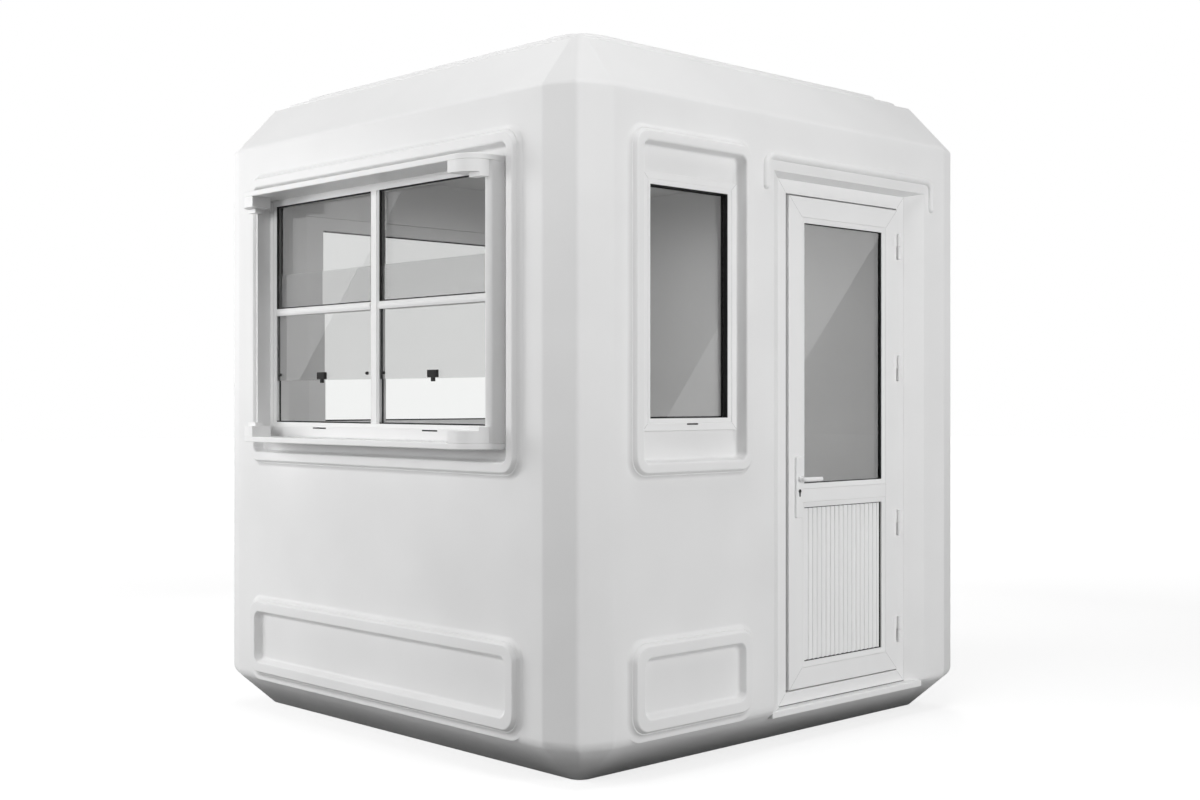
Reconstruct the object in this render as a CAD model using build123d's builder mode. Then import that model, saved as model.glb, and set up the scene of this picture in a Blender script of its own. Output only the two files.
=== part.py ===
from build123d import *
import os
from math import atan2, cos, sin, tan

# Security guard booth: a moulded glass-fibre shell on a tapered base, with a hooded service
# window, a side window, a window on the far side and one outward-opening hinged door.
# The origin is at ground level under the middle of the square plan. +Z is up, the door wall
# faces +X, the service window faces -Y. All sizes are millimetres.

os.makedirs("parts", exist_ok=True)

# Shell
PLAN = 2150.0
HALF = PLAN / 2
FACET_RUN = 160.0
FACET_INSET = 44.0
WALL = 80.0
RIDGE_LOW = 134.0
RIDGE_HIGH = 2226.0
BASE_TOP = 160.0
SKIRT_INSET = 150.0
RIDGE_RADIUS = 45.0
EAVES_RADIUS = 30.0
WALL_TOP = 2200.0
FLOOR_LEVEL = 133.0
FLOOR_THICK = 24.0
CEILING_THICK = 20.0
EDGE_ROUNDING = 30.0
POST_WIDTH = 190.0
WALL_END = HALF - POST_WIDTH
RIDGE_STEPS = 3

# Roof
SLOPE_TOP = 2400.0
SLOPE_INSET = 150.0
ROOF_SKIN = 40.0
LIP_ONE_INSET = 172.0
LIP_ONE_TOP = 2418.0
LIP_TWO_INSET = 228.0
LIP_TWO_TOP = 2446.0
CROWN_TOP = 2456.0
CROWN_INSET = 420.0
ROOF_CORNER = 110.0

# Raised mouldings on the walls
RIM_RISE = 25.0
RIM_WIDTH = 50.0
RIM_TAPER = 30.0
RIM_CHAMFER = 5.0
RIM_CORNER = 62.0
FIELD_DEPTH = 18.0
TRAY_SKIN = 12.0
WINDOW_RIM_LOW = 978.0
WINDOW_RIM_HIGH = 2106.0
PANEL_LOW = 150.0
PANEL_HIGH = 451.0
WIDE_RIM_SPAN = 1620.0
SIDE_RIM_CENTRE = -552.0
SIDE_RIM_SPAN = 590.0

# Window frames
FRAME_FACE = 6.0
FRAME_DEPTH = 60.0
GLASS_SETBACK = 30.0
GLASS_THICK = 20.0
WIDE_FRAME_SPAN = 1386.0
WIDE_FRAME_LOW = 1087.0
WIDE_FRAME_HIGH = 2003.0
WIDE_STILE = 41.0
WIDE_BOTTOM_RAIL = 55.0
WIDE_TOP_RAIL = 25.0
MULLION = 52.0
TRANSOM_LOW = 1553.0
TRANSOM_HIGH = 1580.0
LIFT_PANE_LOW = 1302.0
LIFT_PANE_HIGH = 1711.0
LIFT_PANE_SETBACK = 15.0
LIFT_PANE_THICK = 6.0
LIFT_PANE_PLAY = 1.0
LEFT_STILE = 91.0
LEFT_BOTTOM_RAIL = 50.0
LEFT_TOP_RAIL = 53.0
SIDE_FRAME_SPAN = 458.0
SIDE_FRAME_LOW = 1126.0
SIDE_FRAME_HIGH = 1968.0
SIDE_BAR = 41.0

# Hood round the service window
HOOD_SPAN = 1426.0
HOOD_REACH = 130.0
CHEEK_REACH = 50.0
BOARD = 20.0
HOOD_CORNER = 80.0
CHEEK_ROUNDING = 19.0
BLOCK_WIDTH = 115.0
BLOCK_DROP = 40.0
STEP_REACH = 84.0
STEP_WIDTH = 60.0
STEP_DROP = 14.0

# Door
DOORWAY_LEFT = -133.0
DOORWAY_RIGHT = 778.0
DOORWAY_HEAD = 2032.0
RECESS = 44.0
FRAME_LEFT = -59.0
FRAME_RIGHT = 705.0
FRAME_TOP = 2017.0
LOCK_JAMB = 46.0
HINGE_JAMB = 49.5
HEAD_BAR = 50.0
THRESHOLD_BAR = 48.0
LEAF_LEFT = -5.0
LEAF_RIGHT = 649.5
LEAF_LOW = 187.0
LEAF_HIGH = 1961.0
LEAF_FRONT = 36.0
LEAF_THICK = 50.0
SASH = 93.0
MID_RAIL_LOW = 838.0
MID_RAIL_HIGH = 925.0
PANEL_SETBACK = 12.0
PANEL_THICK = 24.0
RIB_PITCH = 26.0
RIB_WIDTH = 14.0
RIB_RISE = 4.0
STOP_SETBACK = 91.0
STOP_LAP = 16.0
SILL_LEFT = -130.0
SILL_RIGHT = 770.0
SILL_FRONT = 8.0
SILL_DROP = 26.0

# Door furniture
HINGE_AXIS_X = HALF - 28.0
HINGE_AXIS_Y = 652.5
HINGE_RADIUS = 7.0
HINGE_LENGTH = 100.0
KNUCKLE = 49.5
HINGE_LEVELS = [341.0, 753.0, 1350.0, 1820.0]
FLAP = 3.0
HANDLE_Y = 45.0
HANDLE_LEVEL = 942.0
PLATE_LOW = 803.0
PLATE_HIGH = 1024.0
PLATE_WIDTH = 38.0
PLATE_THICK = 9.0
LEVER_GAP = 0.5
LEVER_NECK = 34.0
LEVER_REACH = 95.0
LEVER_RADIUS = 8.0

# Drip bead over the door
BEAD_LEFT = -175.0
BEAD_RIGHT = 822.0
BEAD_LEVEL = 2082.0
BEAD_DROP = 120.0
BEAD_RADIUS = 14.0
BEAD_FLATS = 10
BEAD_BEND = 36.0

# One sketch plane on the outer face of each wall: local x runs along the wall, local y is up
FRONT = Plane(origin=(0, -HALF, 0), x_dir=(1, 0, 0), z_dir=(0, -1, 0))
DOOR_SIDE = Plane(origin=(HALF, 0, 0), x_dir=(0, 1, 0), z_dir=(1, 0, 0))
LEFT = Plane(origin=(-HALF, 0, 0), x_dir=(0, -1, 0), z_dir=(-1, 0, 0))
REAR = Plane(origin=(0, HALF, 0), x_dir=(-1, 0, 0), z_dir=(0, 1, 0))

FACET_ANGLE = atan2(FACET_INSET, FACET_RUN - FACET_INSET)


def plan_points(inset):
    """The shell's outline in plan, pulled in by inset: three points to each faceted corner."""
    run = HALF - FACET_RUN - inset * tan(FACET_ANGLE / 2)
    corner = HALF - FACET_INSET - inset / (cos(FACET_ANGLE) + sin(FACET_ANGLE))
    quarter = [Vector(HALF - inset, run), Vector(corner, corner), Vector(run, HALF - inset)]
    return [point.rotate(Axis.Z, 90 * turn) for turn in range(4) for point in quarter]


def outline_face(inset, rounding=0, mode=Mode.ADD):
    """Draws the faceted outline in the active sketch, with its corners rounded if asked."""
    with BuildSketch(Plane.XY) as outline:
        Polygon(*plan_points(inset), align=None)
        if rounding:
            fillet(outline.vertices(), rounding)
    add(outline.sketch, mode=mode)


def stacked_block(levels, rounding=0, mode=Mode.ADD):
    """Adds a block with the shell's outline that runs straight from one level to the next."""
    sections = []
    for inset, height in levels:
        with BuildSketch(Plane.XY.offset(height)) as section:
            outline_face(inset, rounding)
        sections.append(section.sketch.face())
    loft(sections, ruled=True, mode=mode)


def ridge_levels(level, direction, run, rise, radius):
    """Insets and heights round a ridge, from the upright wall to a slope of the given run and rise."""
    turn = atan2(run, rise)
    back = radius * tan(turn / 2)
    angles = [turn * step / RIDGE_STEPS for step in range(RIDGE_STEPS + 1)]
    return [
        (radius * (1 - cos(angle)), level + direction * (radius * sin(angle) - back))
        for angle in angles
    ]


def shell_band(centre, size):
    """Draws the part of the wall ring, seen in plan, that lies in one rectangle."""
    outline_face(0, EDGE_ROUNDING)
    outline_face(WALL, mode=Mode.SUBTRACT)
    with Locations(centre):
        Rectangle(*size, mode=Mode.INTERSECT)


def doorway_prism(mode=Mode.ADD):
    """Draws the doorway's outline in plan: parallel behind the recess, splayed in front of it."""
    Polygon(
        (HALF - 2 * WALL, FRAME_LEFT),
        (HALF - RECESS, FRAME_LEFT),
        (HALF, DOORWAY_LEFT),
        (HALF + 1, DOORWAY_LEFT),
        (HALF + 1, DOORWAY_RIGHT),
        (HALF, DOORWAY_RIGHT),
        (HALF - RECESS, FRAME_RIGHT),
        (HALF - 2 * WALL, FRAME_RIGHT),
        align=None,
        mode=mode,
    )


def export(name, piece):
    """Labels a finished piece and writes it."""
    piece.part.label = name
    export_step(piece.part, f"parts/{name}.step")


def rectangle_at(low_u, high_u, low_v, high_v, radius=0, mode=Mode.ADD):
    """Draws a rectangle from its limits in the active sketch, with rounded corners if asked."""
    with Locations(((low_u + high_u) / 2, (low_v + high_v) / 2)):
        if radius:
            RectangleRounded(high_u - low_u, high_v - low_v, radius, mode=mode)
        else:
            Rectangle(high_u - low_u, high_v - low_v, mode=mode)


# Base: a tapered tray that carries the walls and the floor, cut back at the doorway
with BuildPart() as base_skirt:
    lower_ridge = ridge_levels(RIDGE_LOW, -1, SKIRT_INSET, RIDGE_LOW, RIDGE_RADIUS)
    stacked_block([(0, BASE_TOP)] + lower_ridge + [(SKIRT_INSET, 0)], EDGE_ROUNDING)
    with BuildSketch(Plane.XY.offset(FLOOR_LEVEL - FLOOR_THICK)):
        outline_face(WALL)
    extrude(amount=BASE_TOP, mode=Mode.SUBTRACT)
    with BuildSketch(Plane.XY.offset(FLOOR_LEVEL)):
        doorway_prism()
    extrude(amount=BASE_TOP, mode=Mode.SUBTRACT)
    with BuildSketch(Plane.XY.offset(FLOOR_LEVEL - SILL_DROP)):
        rectangle_at(HALF - RECESS, HALF + 1, SILL_LEFT, SILL_RIGHT)
    extrude(amount=SILL_DROP + 1, mode=Mode.SUBTRACT)
export("base_skirt", base_skirt)

# Floor: one board inside the tray
with BuildPart() as floor_panel:
    with BuildSketch(Plane.XY.offset(FLOOR_LEVEL - FLOOR_THICK)):
        outline_face(WALL)
    extrude(amount=FLOOR_THICK)
export("floor_panel", floor_panel)

# Door sill: the light strip that the recess ends on, with a rounded nose
with BuildPart() as door_sill:
    with BuildSketch(Plane.XY.offset(FLOOR_LEVEL - SILL_DROP)):
        rectangle_at(HALF - RECESS, HALF - SILL_FRONT, SILL_LEFT, SILL_RIGHT)
    extrude(amount=SILL_DROP)
    nose = door_sill.edges().filter_by(Axis.Y).group_by(Axis.X)[-1]
    fillet(nose, 5)
export("door_sill", door_sill)

# Corner posts: the two facets of each corner, with the wall's thickness behind them
for corner_name, side_x, side_y in (
    ("front_right", 1, -1),
    ("front_left", -1, -1),
    ("rear_right", 1, 1),
    ("rear_left", -1, 1),
):
    with BuildPart() as corner_post:
        with BuildSketch(Plane.XY.offset(BASE_TOP)):
            reach = HALF - POST_WIDTH / 2
            shell_band((side_x * reach, side_y * reach), (POST_WIDTH, POST_WIDTH))
        extrude(amount=WALL_TOP - BASE_TOP)
    export(f"corner_post_{corner_name}", corner_post)

WALL_HEIGHT = WALL_TOP - BASE_TOP
BAND = 2 * WALL
TRAY_OUT = RIM_WIDTH - TRAY_SKIN


def window_wall(centre, size, plane, tray):
    """A wall with the hole that its window's moulded tray fills."""
    with BuildPart() as wall:
        with BuildSketch(Plane.XY.offset(BASE_TOP)):
            shell_band(centre, size)
        extrude(amount=WALL_HEIGHT)
        with BuildSketch(plane):
            rectangle_at(*tray, radius=RIM_CORNER - TRAY_OUT)
        extrude(amount=-BAND, mode=Mode.SUBTRACT)
    return wall


def tray_limits(centre, span):
    """Limits of the hole behind a raised rim whose outer span is given."""
    return (
        centre - span / 2 + TRAY_OUT,
        centre + span / 2 - TRAY_OUT,
        WINDOW_RIM_LOW + TRAY_OUT,
        WINDOW_RIM_HIGH - TRAY_OUT,
    )


WIDE_TRAY = tray_limits(0, WIDE_RIM_SPAN)
SIDE_TRAY = tray_limits(SIDE_RIM_CENTRE, SIDE_RIM_SPAN)

front_wall = window_wall((0, -HALF), (2 * WALL_END, BAND), FRONT, WIDE_TRAY)
export("front_wall", front_wall)

left_wall = window_wall((-HALF, 0), (BAND, 2 * WALL_END), LEFT, WIDE_TRAY)
export("left_wall", left_wall)

# Rear wall: plain, with no window
with BuildPart() as rear_wall:
    with BuildSketch(Plane.XY.offset(BASE_TOP)):
        shell_band((0, HALF), (2 * WALL_END, BAND))
    extrude(amount=WALL_HEIGHT)
export("rear_wall", rear_wall)


# Door wall, in three pieces: the bay with the side window, the header and the end bay
with BuildPart() as door_wall_window_bay:
    with BuildSketch(Plane.XY.offset(BASE_TOP)):
        shell_band((HALF, -WALL_END / 2), (BAND, WALL_END))
        doorway_prism(Mode.SUBTRACT)
    extrude(amount=WALL_HEIGHT)
    with BuildSketch(DOOR_SIDE):
        rectangle_at(*SIDE_TRAY, radius=RIM_CORNER - TRAY_OUT)
    extrude(amount=-BAND, mode=Mode.SUBTRACT)
export("door_wall_window_bay", door_wall_window_bay)

with BuildPart() as door_wall_end_bay:
    with BuildSketch(Plane.XY.offset(BASE_TOP)):
        shell_band((HALF, WALL_END / 2), (BAND, WALL_END))
        doorway_prism(Mode.SUBTRACT)
    extrude(amount=WALL_HEIGHT)
export("door_wall_end_bay", door_wall_end_bay)

with BuildPart() as door_wall_header:
    with BuildSketch(Plane.XY.offset(FRAME_TOP)):
        shell_band((HALF, 0), (BAND, 2 * WALL_END))
        doorway_prism(Mode.INTERSECT)
    extrude(amount=WALL_TOP - FRAME_TOP)
    with BuildSketch(Plane.XZ.offset(-WALL_END)):
        with BuildLine():
            Polyline(
                (HALF - RECESS, FRAME_TOP),
                (HALF + 1, DOORWAY_HEAD),
                (HALF + 1, FRAME_TOP - 1),
                (HALF - RECESS, FRAME_TOP - 1),
                close=True,
            )
        make_face()
    extrude(amount=2 * WALL_END, mode=Mode.SUBTRACT)
export("door_wall_header", door_wall_header)


def rim_body(plane, limits):
    """Adds the outside of a raised rim: a rounded block with leaning flanks."""
    with BuildSketch(plane) as footprint:
        rectangle_at(*limits, radius=RIM_CORNER)
    extrude(footprint.sketch, amount=RIM_RISE, taper=RIM_TAPER)


def panel_rim(plane, limits):
    """A rounded rim moulded proud of a wall round a flat field."""
    low_u, high_u, low_v, high_v = limits
    inner = (low_u + RIM_WIDTH, high_u - RIM_WIDTH, low_v + RIM_WIDTH, high_v - RIM_WIDTH)
    with BuildPart() as rim:
        rim_body(plane, limits)
        chamfer(rim.faces().sort_by(Axis(plane.origin, plane.z_dir))[-1].edges(), RIM_CHAMFER)
        with BuildSketch(plane.offset(RIM_RISE)):
            rectangle_at(*inner, radius=RIM_CORNER - RIM_WIDTH / 2)
        extrude(amount=-RIM_RISE, taper=RIM_TAPER, mode=Mode.SUBTRACT)
    return rim


def window_surround(plane, limits, tray, hole):
    """A raised rim whose field is a set-back tray with a hole for the window frame."""
    low_u, high_u, low_v, high_v = limits
    inner = (low_u + RIM_WIDTH, high_u - RIM_WIDTH, low_v + RIM_WIDTH, high_v - RIM_WIDTH)
    with BuildPart() as rim:
        rim_body(plane, limits)
        chamfer(rim.faces().sort_by(Axis(plane.origin, plane.z_dir))[-1].edges(), RIM_CHAMFER)
        with BuildSketch(plane.offset(-WALL)):
            rectangle_at(*tray, radius=RIM_CORNER - TRAY_OUT)
        extrude(amount=WALL)
        with BuildSketch(plane.offset(-FIELD_DEPTH)):
            rectangle_at(*inner, radius=RIM_CORNER - RIM_WIDTH)
        extrude(amount=FIELD_DEPTH + RIM_RISE, mode=Mode.SUBTRACT)
        with BuildSketch(plane):
            rectangle_at(*hole)
        extrude(amount=-WALL, mode=Mode.SUBTRACT)
    return rim


WIDE_LIMITS = (-WIDE_RIM_SPAN / 2, WIDE_RIM_SPAN / 2, WINDOW_RIM_LOW, WINDOW_RIM_HIGH)
WIDE_HOLE = (-WIDE_FRAME_SPAN / 2, WIDE_FRAME_SPAN / 2, WIDE_FRAME_LOW, WIDE_FRAME_HIGH)
SIDE_LIMITS = (
    SIDE_RIM_CENTRE - SIDE_RIM_SPAN / 2,
    SIDE_RIM_CENTRE + SIDE_RIM_SPAN / 2,
    WINDOW_RIM_LOW,
    WINDOW_RIM_HIGH,
)
SIDE_HOLE = (
    SIDE_RIM_CENTRE - SIDE_FRAME_SPAN / 2,
    SIDE_RIM_CENTRE + SIDE_FRAME_SPAN / 2,
    SIDE_FRAME_LOW,
    SIDE_FRAME_HIGH,
)
export("front_window_surround", window_surround(FRONT, WIDE_LIMITS, WIDE_TRAY, WIDE_HOLE))
export("left_window_surround", window_surround(LEFT, WIDE_LIMITS, WIDE_TRAY, WIDE_HOLE))
export("side_window_surround", window_surround(DOOR_SIDE, SIDE_LIMITS, SIDE_TRAY, SIDE_HOLE))

WIDE_PANEL = (-WIDE_RIM_SPAN / 2, WIDE_RIM_SPAN / 2, PANEL_LOW, PANEL_HIGH)
SIDE_PANEL = SIDE_LIMITS[:2] + (PANEL_LOW, PANEL_HIGH)
export("front_lower_panel_rim", panel_rim(FRONT, WIDE_PANEL))
export("left_lower_panel_rim", panel_rim(LEFT, WIDE_PANEL))
export("rear_lower_panel_rim", panel_rim(REAR, WIDE_PANEL))
export("side_lower_panel_rim", panel_rim(DOOR_SIDE, SIDE_PANEL))


def window_frame(plane, hole, lights):
    """A frame with square-cut lights: its outline fills the hole in the tray."""
    with BuildPart() as frame:
        with BuildSketch(plane.offset(-FRAME_FACE)):
            rectangle_at(*hole)
            for light in lights:
                rectangle_at(*light, mode=Mode.SUBTRACT)
        extrude(amount=-FRAME_DEPTH)
    return frame


def panes(plane, lights, setback, thickness):
    """One sheet of glass in each light."""
    with BuildPart() as glass:
        with BuildSketch(plane.offset(-setback)):
            for light in lights:
                rectangle_at(*light)
        extrude(amount=-thickness)
    return glass


LIGHT_EDGE = WIDE_FRAME_SPAN / 2 - WIDE_STILE
LIGHT_LOW = WIDE_FRAME_LOW + WIDE_BOTTOM_RAIL
LIGHT_HIGH = WIDE_FRAME_HIGH - WIDE_TOP_RAIL
SPANS = ((-LIGHT_EDGE, -MULLION / 2), (MULLION / 2, LIGHT_EDGE))
UPPER = [(low, high, TRANSOM_HIGH, LIGHT_HIGH) for low, high in SPANS]
LOWER = [(low, high, LIGHT_LOW, TRANSOM_LOW) for low, high in SPANS]
LIFTED = [(low, high, LIFT_PANE_LOW, LIFT_PANE_HIGH) for low, high in SPANS]
LEFT_LIGHT = (
    WIDE_HOLE[0] + LEFT_STILE,
    WIDE_HOLE[1] - LEFT_STILE,
    WIDE_FRAME_LOW + LEFT_BOTTOM_RAIL,
    WIDE_FRAME_HIGH - LEFT_TOP_RAIL,
)
SIDE_LIGHT = (
    SIDE_HOLE[0] + SIDE_BAR,
    SIDE_HOLE[1] - SIDE_BAR,
    SIDE_HOLE[2] + SIDE_BAR,
    SIDE_HOLE[3] - SIDE_BAR,
)

# Service window: the transom is slotted so that the lifting panes pass through it
front_window_frame = window_frame(FRONT, WIDE_HOLE, UPPER + LOWER)
with BuildPart() as front_window_slotted:
    add(front_window_frame.part)
    with BuildSketch(FRONT.offset(LIFT_PANE_PLAY - LIFT_PANE_SETBACK)):
        for low, high in SPANS:
            rectangle_at(low, high, TRANSOM_LOW - 1, TRANSOM_HIGH + 1)
    extrude(amount=-LIFT_PANE_THICK - 2 * LIFT_PANE_PLAY, mode=Mode.SUBTRACT)
export("front_window_frame", front_window_slotted)
export("front_window_glass", panes(FRONT, UPPER, GLASS_SETBACK, GLASS_THICK))
export("front_hatch_panes", panes(FRONT, LIFTED, LIFT_PANE_SETBACK, LIFT_PANE_THICK))
export("left_window_frame", window_frame(LEFT, WIDE_HOLE, [LEFT_LIGHT]))
export("left_window_glass", panes(LEFT, [LEFT_LIGHT], GLASS_SETBACK, GLASS_THICK))
export("side_window_frame", window_frame(DOOR_SIDE, SIDE_HOLE, [SIDE_LIGHT]))
export("side_window_glass", panes(DOOR_SIDE, [SIDE_LIGHT], GLASS_SETBACK, GLASS_THICK))

# Lifting pane fittings: a latch with a pull tongue in the middle of each pane's lower edge
TONGUE_REACH = 9.0
LATCH_REACH = 12.0
with BuildPart() as front_hatch_fittings:
    for low, high in SPANS:
        with BuildSketch(FRONT.offset(-LIFT_PANE_SETBACK)):
            with Locations(((low + high) / 2, LIFT_PANE_LOW + 16)):
                Rectangle(44, 26)
        extrude(amount=LATCH_REACH)
        with BuildSketch(FRONT.offset(-LIFT_PANE_SETBACK)):
            with Locations(((low + high) / 2, LIFT_PANE_LOW - 2)):
                Rectangle(16, 18)
        extrude(amount=TONGUE_REACH)
export("front_hatch_fittings", front_hatch_fittings)

# Hood: two round-cornered shelves, two side boards and a stepped block at each corner
HOOD_LOW = WIDE_FRAME_LOW - BOARD
HOOD_ROOT = FIELD_DEPTH
HOOD_FRONT = -HALF - HOOD_REACH


def hood_outline():
    """Draws a shelf's outline in plan, with its two front corners rounded."""
    with BuildSketch(Plane.XY) as outline:
        rectangle_at(-HOOD_SPAN / 2, HOOD_SPAN / 2, HOOD_FRONT, -HALF + HOOD_ROOT)
        fillet(outline.vertices().group_by(Axis.Y)[0], HOOD_CORNER)
    add(outline.sketch)


for shelf_name, shelf_low in (("hood_bottom_shelf", HOOD_LOW), ("hood_top_shelf", WIDE_FRAME_HIGH)):
    with BuildPart() as shelf:
        with BuildSketch(Plane.XY.offset(shelf_low)):
            hood_outline()
        extrude(amount=BOARD)
    export(shelf_name, shelf)

with BuildPart() as hood_side_boards:
    for side in (-1, 1):
        with BuildSketch(Plane.XY.offset(WIDE_FRAME_LOW)) as board:
            with Locations((side * (HOOD_SPAN - BOARD) / 2, -HALF - (CHEEK_REACH - HOOD_ROOT) / 2)):
                Rectangle(BOARD, CHEEK_REACH + HOOD_ROOT)
            front_corners = board.vertices().group_by(Axis.Y)[0].sort_by(Axis.X)
            fillet(front_corners[0 if side < 0 else -1], CHEEK_ROUNDING)
        extrude(amount=WIDE_FRAME_HIGH - WIDE_FRAME_LOW)
export("hood_side_boards", hood_side_boards)

with BuildPart() as hood_corner_gussets:
    for root, away in ((WIDE_FRAME_LOW, 1), (WIDE_FRAME_HIGH, -1)):
        for width, reach, start, drop in (
            (BLOCK_WIDTH, HOOD_REACH, 0, BLOCK_DROP),
            (STEP_WIDTH, STEP_REACH, BLOCK_DROP, STEP_DROP),
        ):
            for side in (-1, 1):
                with BuildSketch(Plane.XY.offset(root + away * start)):
                    hood_outline()
                    with Locations(
                        (side * (HOOD_SPAN - width) / 2, -HALF - (reach + CHEEK_REACH) / 2)
                    ):
                        Rectangle(width, reach - CHEEK_REACH, mode=Mode.INTERSECT)
                extrude(amount=away * drop)
export("hood_corner_gussets", hood_corner_gussets)

# Roof: a faceted slope ring, a stepped top and a flat ceiling board
with BuildPart() as roof_slope_band:
    slope_rise = SLOPE_TOP - RIDGE_HIGH
    eaves = ridge_levels(RIDGE_HIGH, 1, SLOPE_INSET, slope_rise, EAVES_RADIUS)
    stacked_block([(0, WALL_TOP)] + eaves + [(SLOPE_INSET, SLOPE_TOP)], EDGE_ROUNDING)
    cavity = [(WALL, WALL_TOP), (WALL, RIDGE_HIGH), (SLOPE_INSET + ROOF_SKIN, SLOPE_TOP)]
    stacked_block(cavity, mode=Mode.SUBTRACT)
export("roof_slope_band", roof_slope_band)

with BuildPart() as roof_top:
    for low, high, inset in (
        (SLOPE_TOP, LIP_ONE_TOP, LIP_ONE_INSET),
        (LIP_ONE_TOP, LIP_TWO_TOP, LIP_TWO_INSET),
        (LIP_TWO_TOP, CROWN_TOP, CROWN_INSET),
    ):
        edge = HALF - inset
        with BuildSketch(Plane.XY.offset(low)):
            rectangle_at(-edge, edge, -edge, edge, radius=ROOF_CORNER)
        extrude(amount=high - low)
export("roof_top", roof_top)

with BuildPart() as ceiling_panel:
    with BuildSketch(Plane.XY.offset(WALL_TOP)):
        outline_face(WALL)
    extrude(amount=CEILING_THICK)
export("ceiling_panel", ceiling_panel)

# Drip bead: a half-round moulding over the door, drawn in flats, with both ends turned down
with BuildPart() as door_drip_bead:
    with BuildLine(DOOR_SIDE) as bead_path:
        FilletPolyline(
            (BEAD_LEFT, BEAD_LEVEL - BEAD_DROP),
            (BEAD_LEFT, BEAD_LEVEL),
            (BEAD_RIGHT, BEAD_LEVEL),
            (BEAD_RIGHT, BEAD_LEVEL - BEAD_DROP),
            radius=BEAD_BEND,
        )
    start = Plane(
        origin=(HALF, BEAD_LEFT, BEAD_LEVEL - BEAD_DROP), x_dir=(0, 1, 0), z_dir=(0, 0, 1)
    )
    with BuildSketch(start):
        RegularPolygon(BEAD_RADIUS, BEAD_FLATS)
        with Locations((0, BEAD_RADIUS)):
            Rectangle(4 * BEAD_RADIUS, 2 * BEAD_RADIUS, mode=Mode.SUBTRACT)
    sweep(path=bead_path.wires()[0])
export("door_drip_bead", door_drip_bead)


def door_bar(low_y, high_y, low_z, high_z, front, thickness):
    """A plain bar or board in the doorway, set back from the wall's face."""
    with BuildPart() as bar:
        with BuildSketch(DOOR_SIDE.offset(-front)):
            rectangle_at(low_y, high_y, low_z, high_z)
        extrude(amount=-thickness)
    return bar


# Door frame: two jambs between a head and a threshold
FRAME_BARS = {
    "door_frame_threshold": (FRAME_LEFT, FRAME_RIGHT, FLOOR_LEVEL, FLOOR_LEVEL + THRESHOLD_BAR),
    "door_frame_head": (FRAME_LEFT, FRAME_RIGHT, FRAME_TOP - HEAD_BAR, FRAME_TOP),
    "door_frame_lock_jamb": (
        FRAME_LEFT,
        FRAME_LEFT + LOCK_JAMB,
        FLOOR_LEVEL + THRESHOLD_BAR,
        FRAME_TOP - HEAD_BAR,
    ),
    "door_frame_hinge_jamb": (
        FRAME_RIGHT - HINGE_JAMB,
        FRAME_RIGHT,
        FLOOR_LEVEL + THRESHOLD_BAR,
        FRAME_TOP - HEAD_BAR,
    ),
}
for bar_name, limits in FRAME_BARS.items():
    export(bar_name, door_bar(*limits, RECESS, FRAME_DEPTH))

# Stop strips: the leaf closes towards them, and they are fixed behind it on the frame
STOP_BACK = RECESS + FRAME_DEPTH
OPENING = (FRAME_LEFT + LOCK_JAMB, FRAME_RIGHT - HINGE_JAMB)
STOP_LOW = FLOOR_LEVEL + THRESHOLD_BAR
STOP_HIGH = FRAME_TOP - HEAD_BAR
with BuildPart() as door_stop_strips:
    with BuildSketch(DOOR_SIDE.offset(-STOP_SETBACK)):
        rectangle_at(*OPENING, STOP_HIGH - STOP_LAP, STOP_HIGH)
        rectangle_at(*OPENING, STOP_LOW, STOP_LOW + STOP_LAP)
        upright = (STOP_LOW + STOP_LAP + 1, STOP_HIGH - STOP_LAP - 1)
        rectangle_at(OPENING[0], OPENING[0] + STOP_LAP, *upright)
        rectangle_at(OPENING[1] - STOP_LAP, OPENING[1], *upright)
    extrude(amount=STOP_SETBACK - STOP_BACK)
export("door_stop_strips", door_stop_strips)

# Door leaf: stiles and rails in one welded frame, with a glazed and a ribbed field
GLASS_FIELD = (LEAF_LEFT + SASH, LEAF_RIGHT - SASH, MID_RAIL_HIGH, LEAF_HIGH - SASH)
RIBBED_FIELD = (LEAF_LEFT + SASH, LEAF_RIGHT - SASH, LEAF_LOW + SASH, MID_RAIL_LOW)
with BuildPart() as door_leaf_frame:
    with BuildSketch(DOOR_SIDE.offset(-LEAF_FRONT)):
        rectangle_at(LEAF_LEFT, LEAF_RIGHT, LEAF_LOW, LEAF_HIGH)
        rectangle_at(*GLASS_FIELD, mode=Mode.SUBTRACT)
        rectangle_at(*RIBBED_FIELD, mode=Mode.SUBTRACT)
    extrude(amount=-LEAF_THICK)
export("door_leaf_frame", door_leaf_frame)
export("door_glass", door_bar(*GLASS_FIELD, LEAF_FRONT + PANEL_SETBACK, PANEL_THICK))

with BuildPart() as door_ribbed_panel:
    with BuildSketch(DOOR_SIDE.offset(-LEAF_FRONT - PANEL_SETBACK - RIB_RISE)):
        rectangle_at(*RIBBED_FIELD)
    extrude(amount=-PANEL_THICK)
    rib_count = int((RIBBED_FIELD[1] - RIBBED_FIELD[0]) / RIB_PITCH)
    rib_centre = ((RIBBED_FIELD[0] + RIBBED_FIELD[1]) / 2, (RIBBED_FIELD[2] + RIBBED_FIELD[3]) / 2)
    with BuildSketch(DOOR_SIDE.offset(-LEAF_FRONT - PANEL_SETBACK - RIB_RISE)):
        with Locations(rib_centre):
            with GridLocations(RIB_PITCH, 1, rib_count, 1):
                Rectangle(RIB_WIDTH, RIBBED_FIELD[3] - RIBBED_FIELD[2])
    extrude(amount=RIB_RISE)
export("door_ribbed_panel", door_ribbed_panel)


def barrel(bottom, length):
    """Adds one length of a hinge barrel to the active part."""
    with Locations((HINGE_AXIS_X, HINGE_AXIS_Y, bottom + length / 2)):
        Cylinder(HINGE_RADIUS, length)


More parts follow.
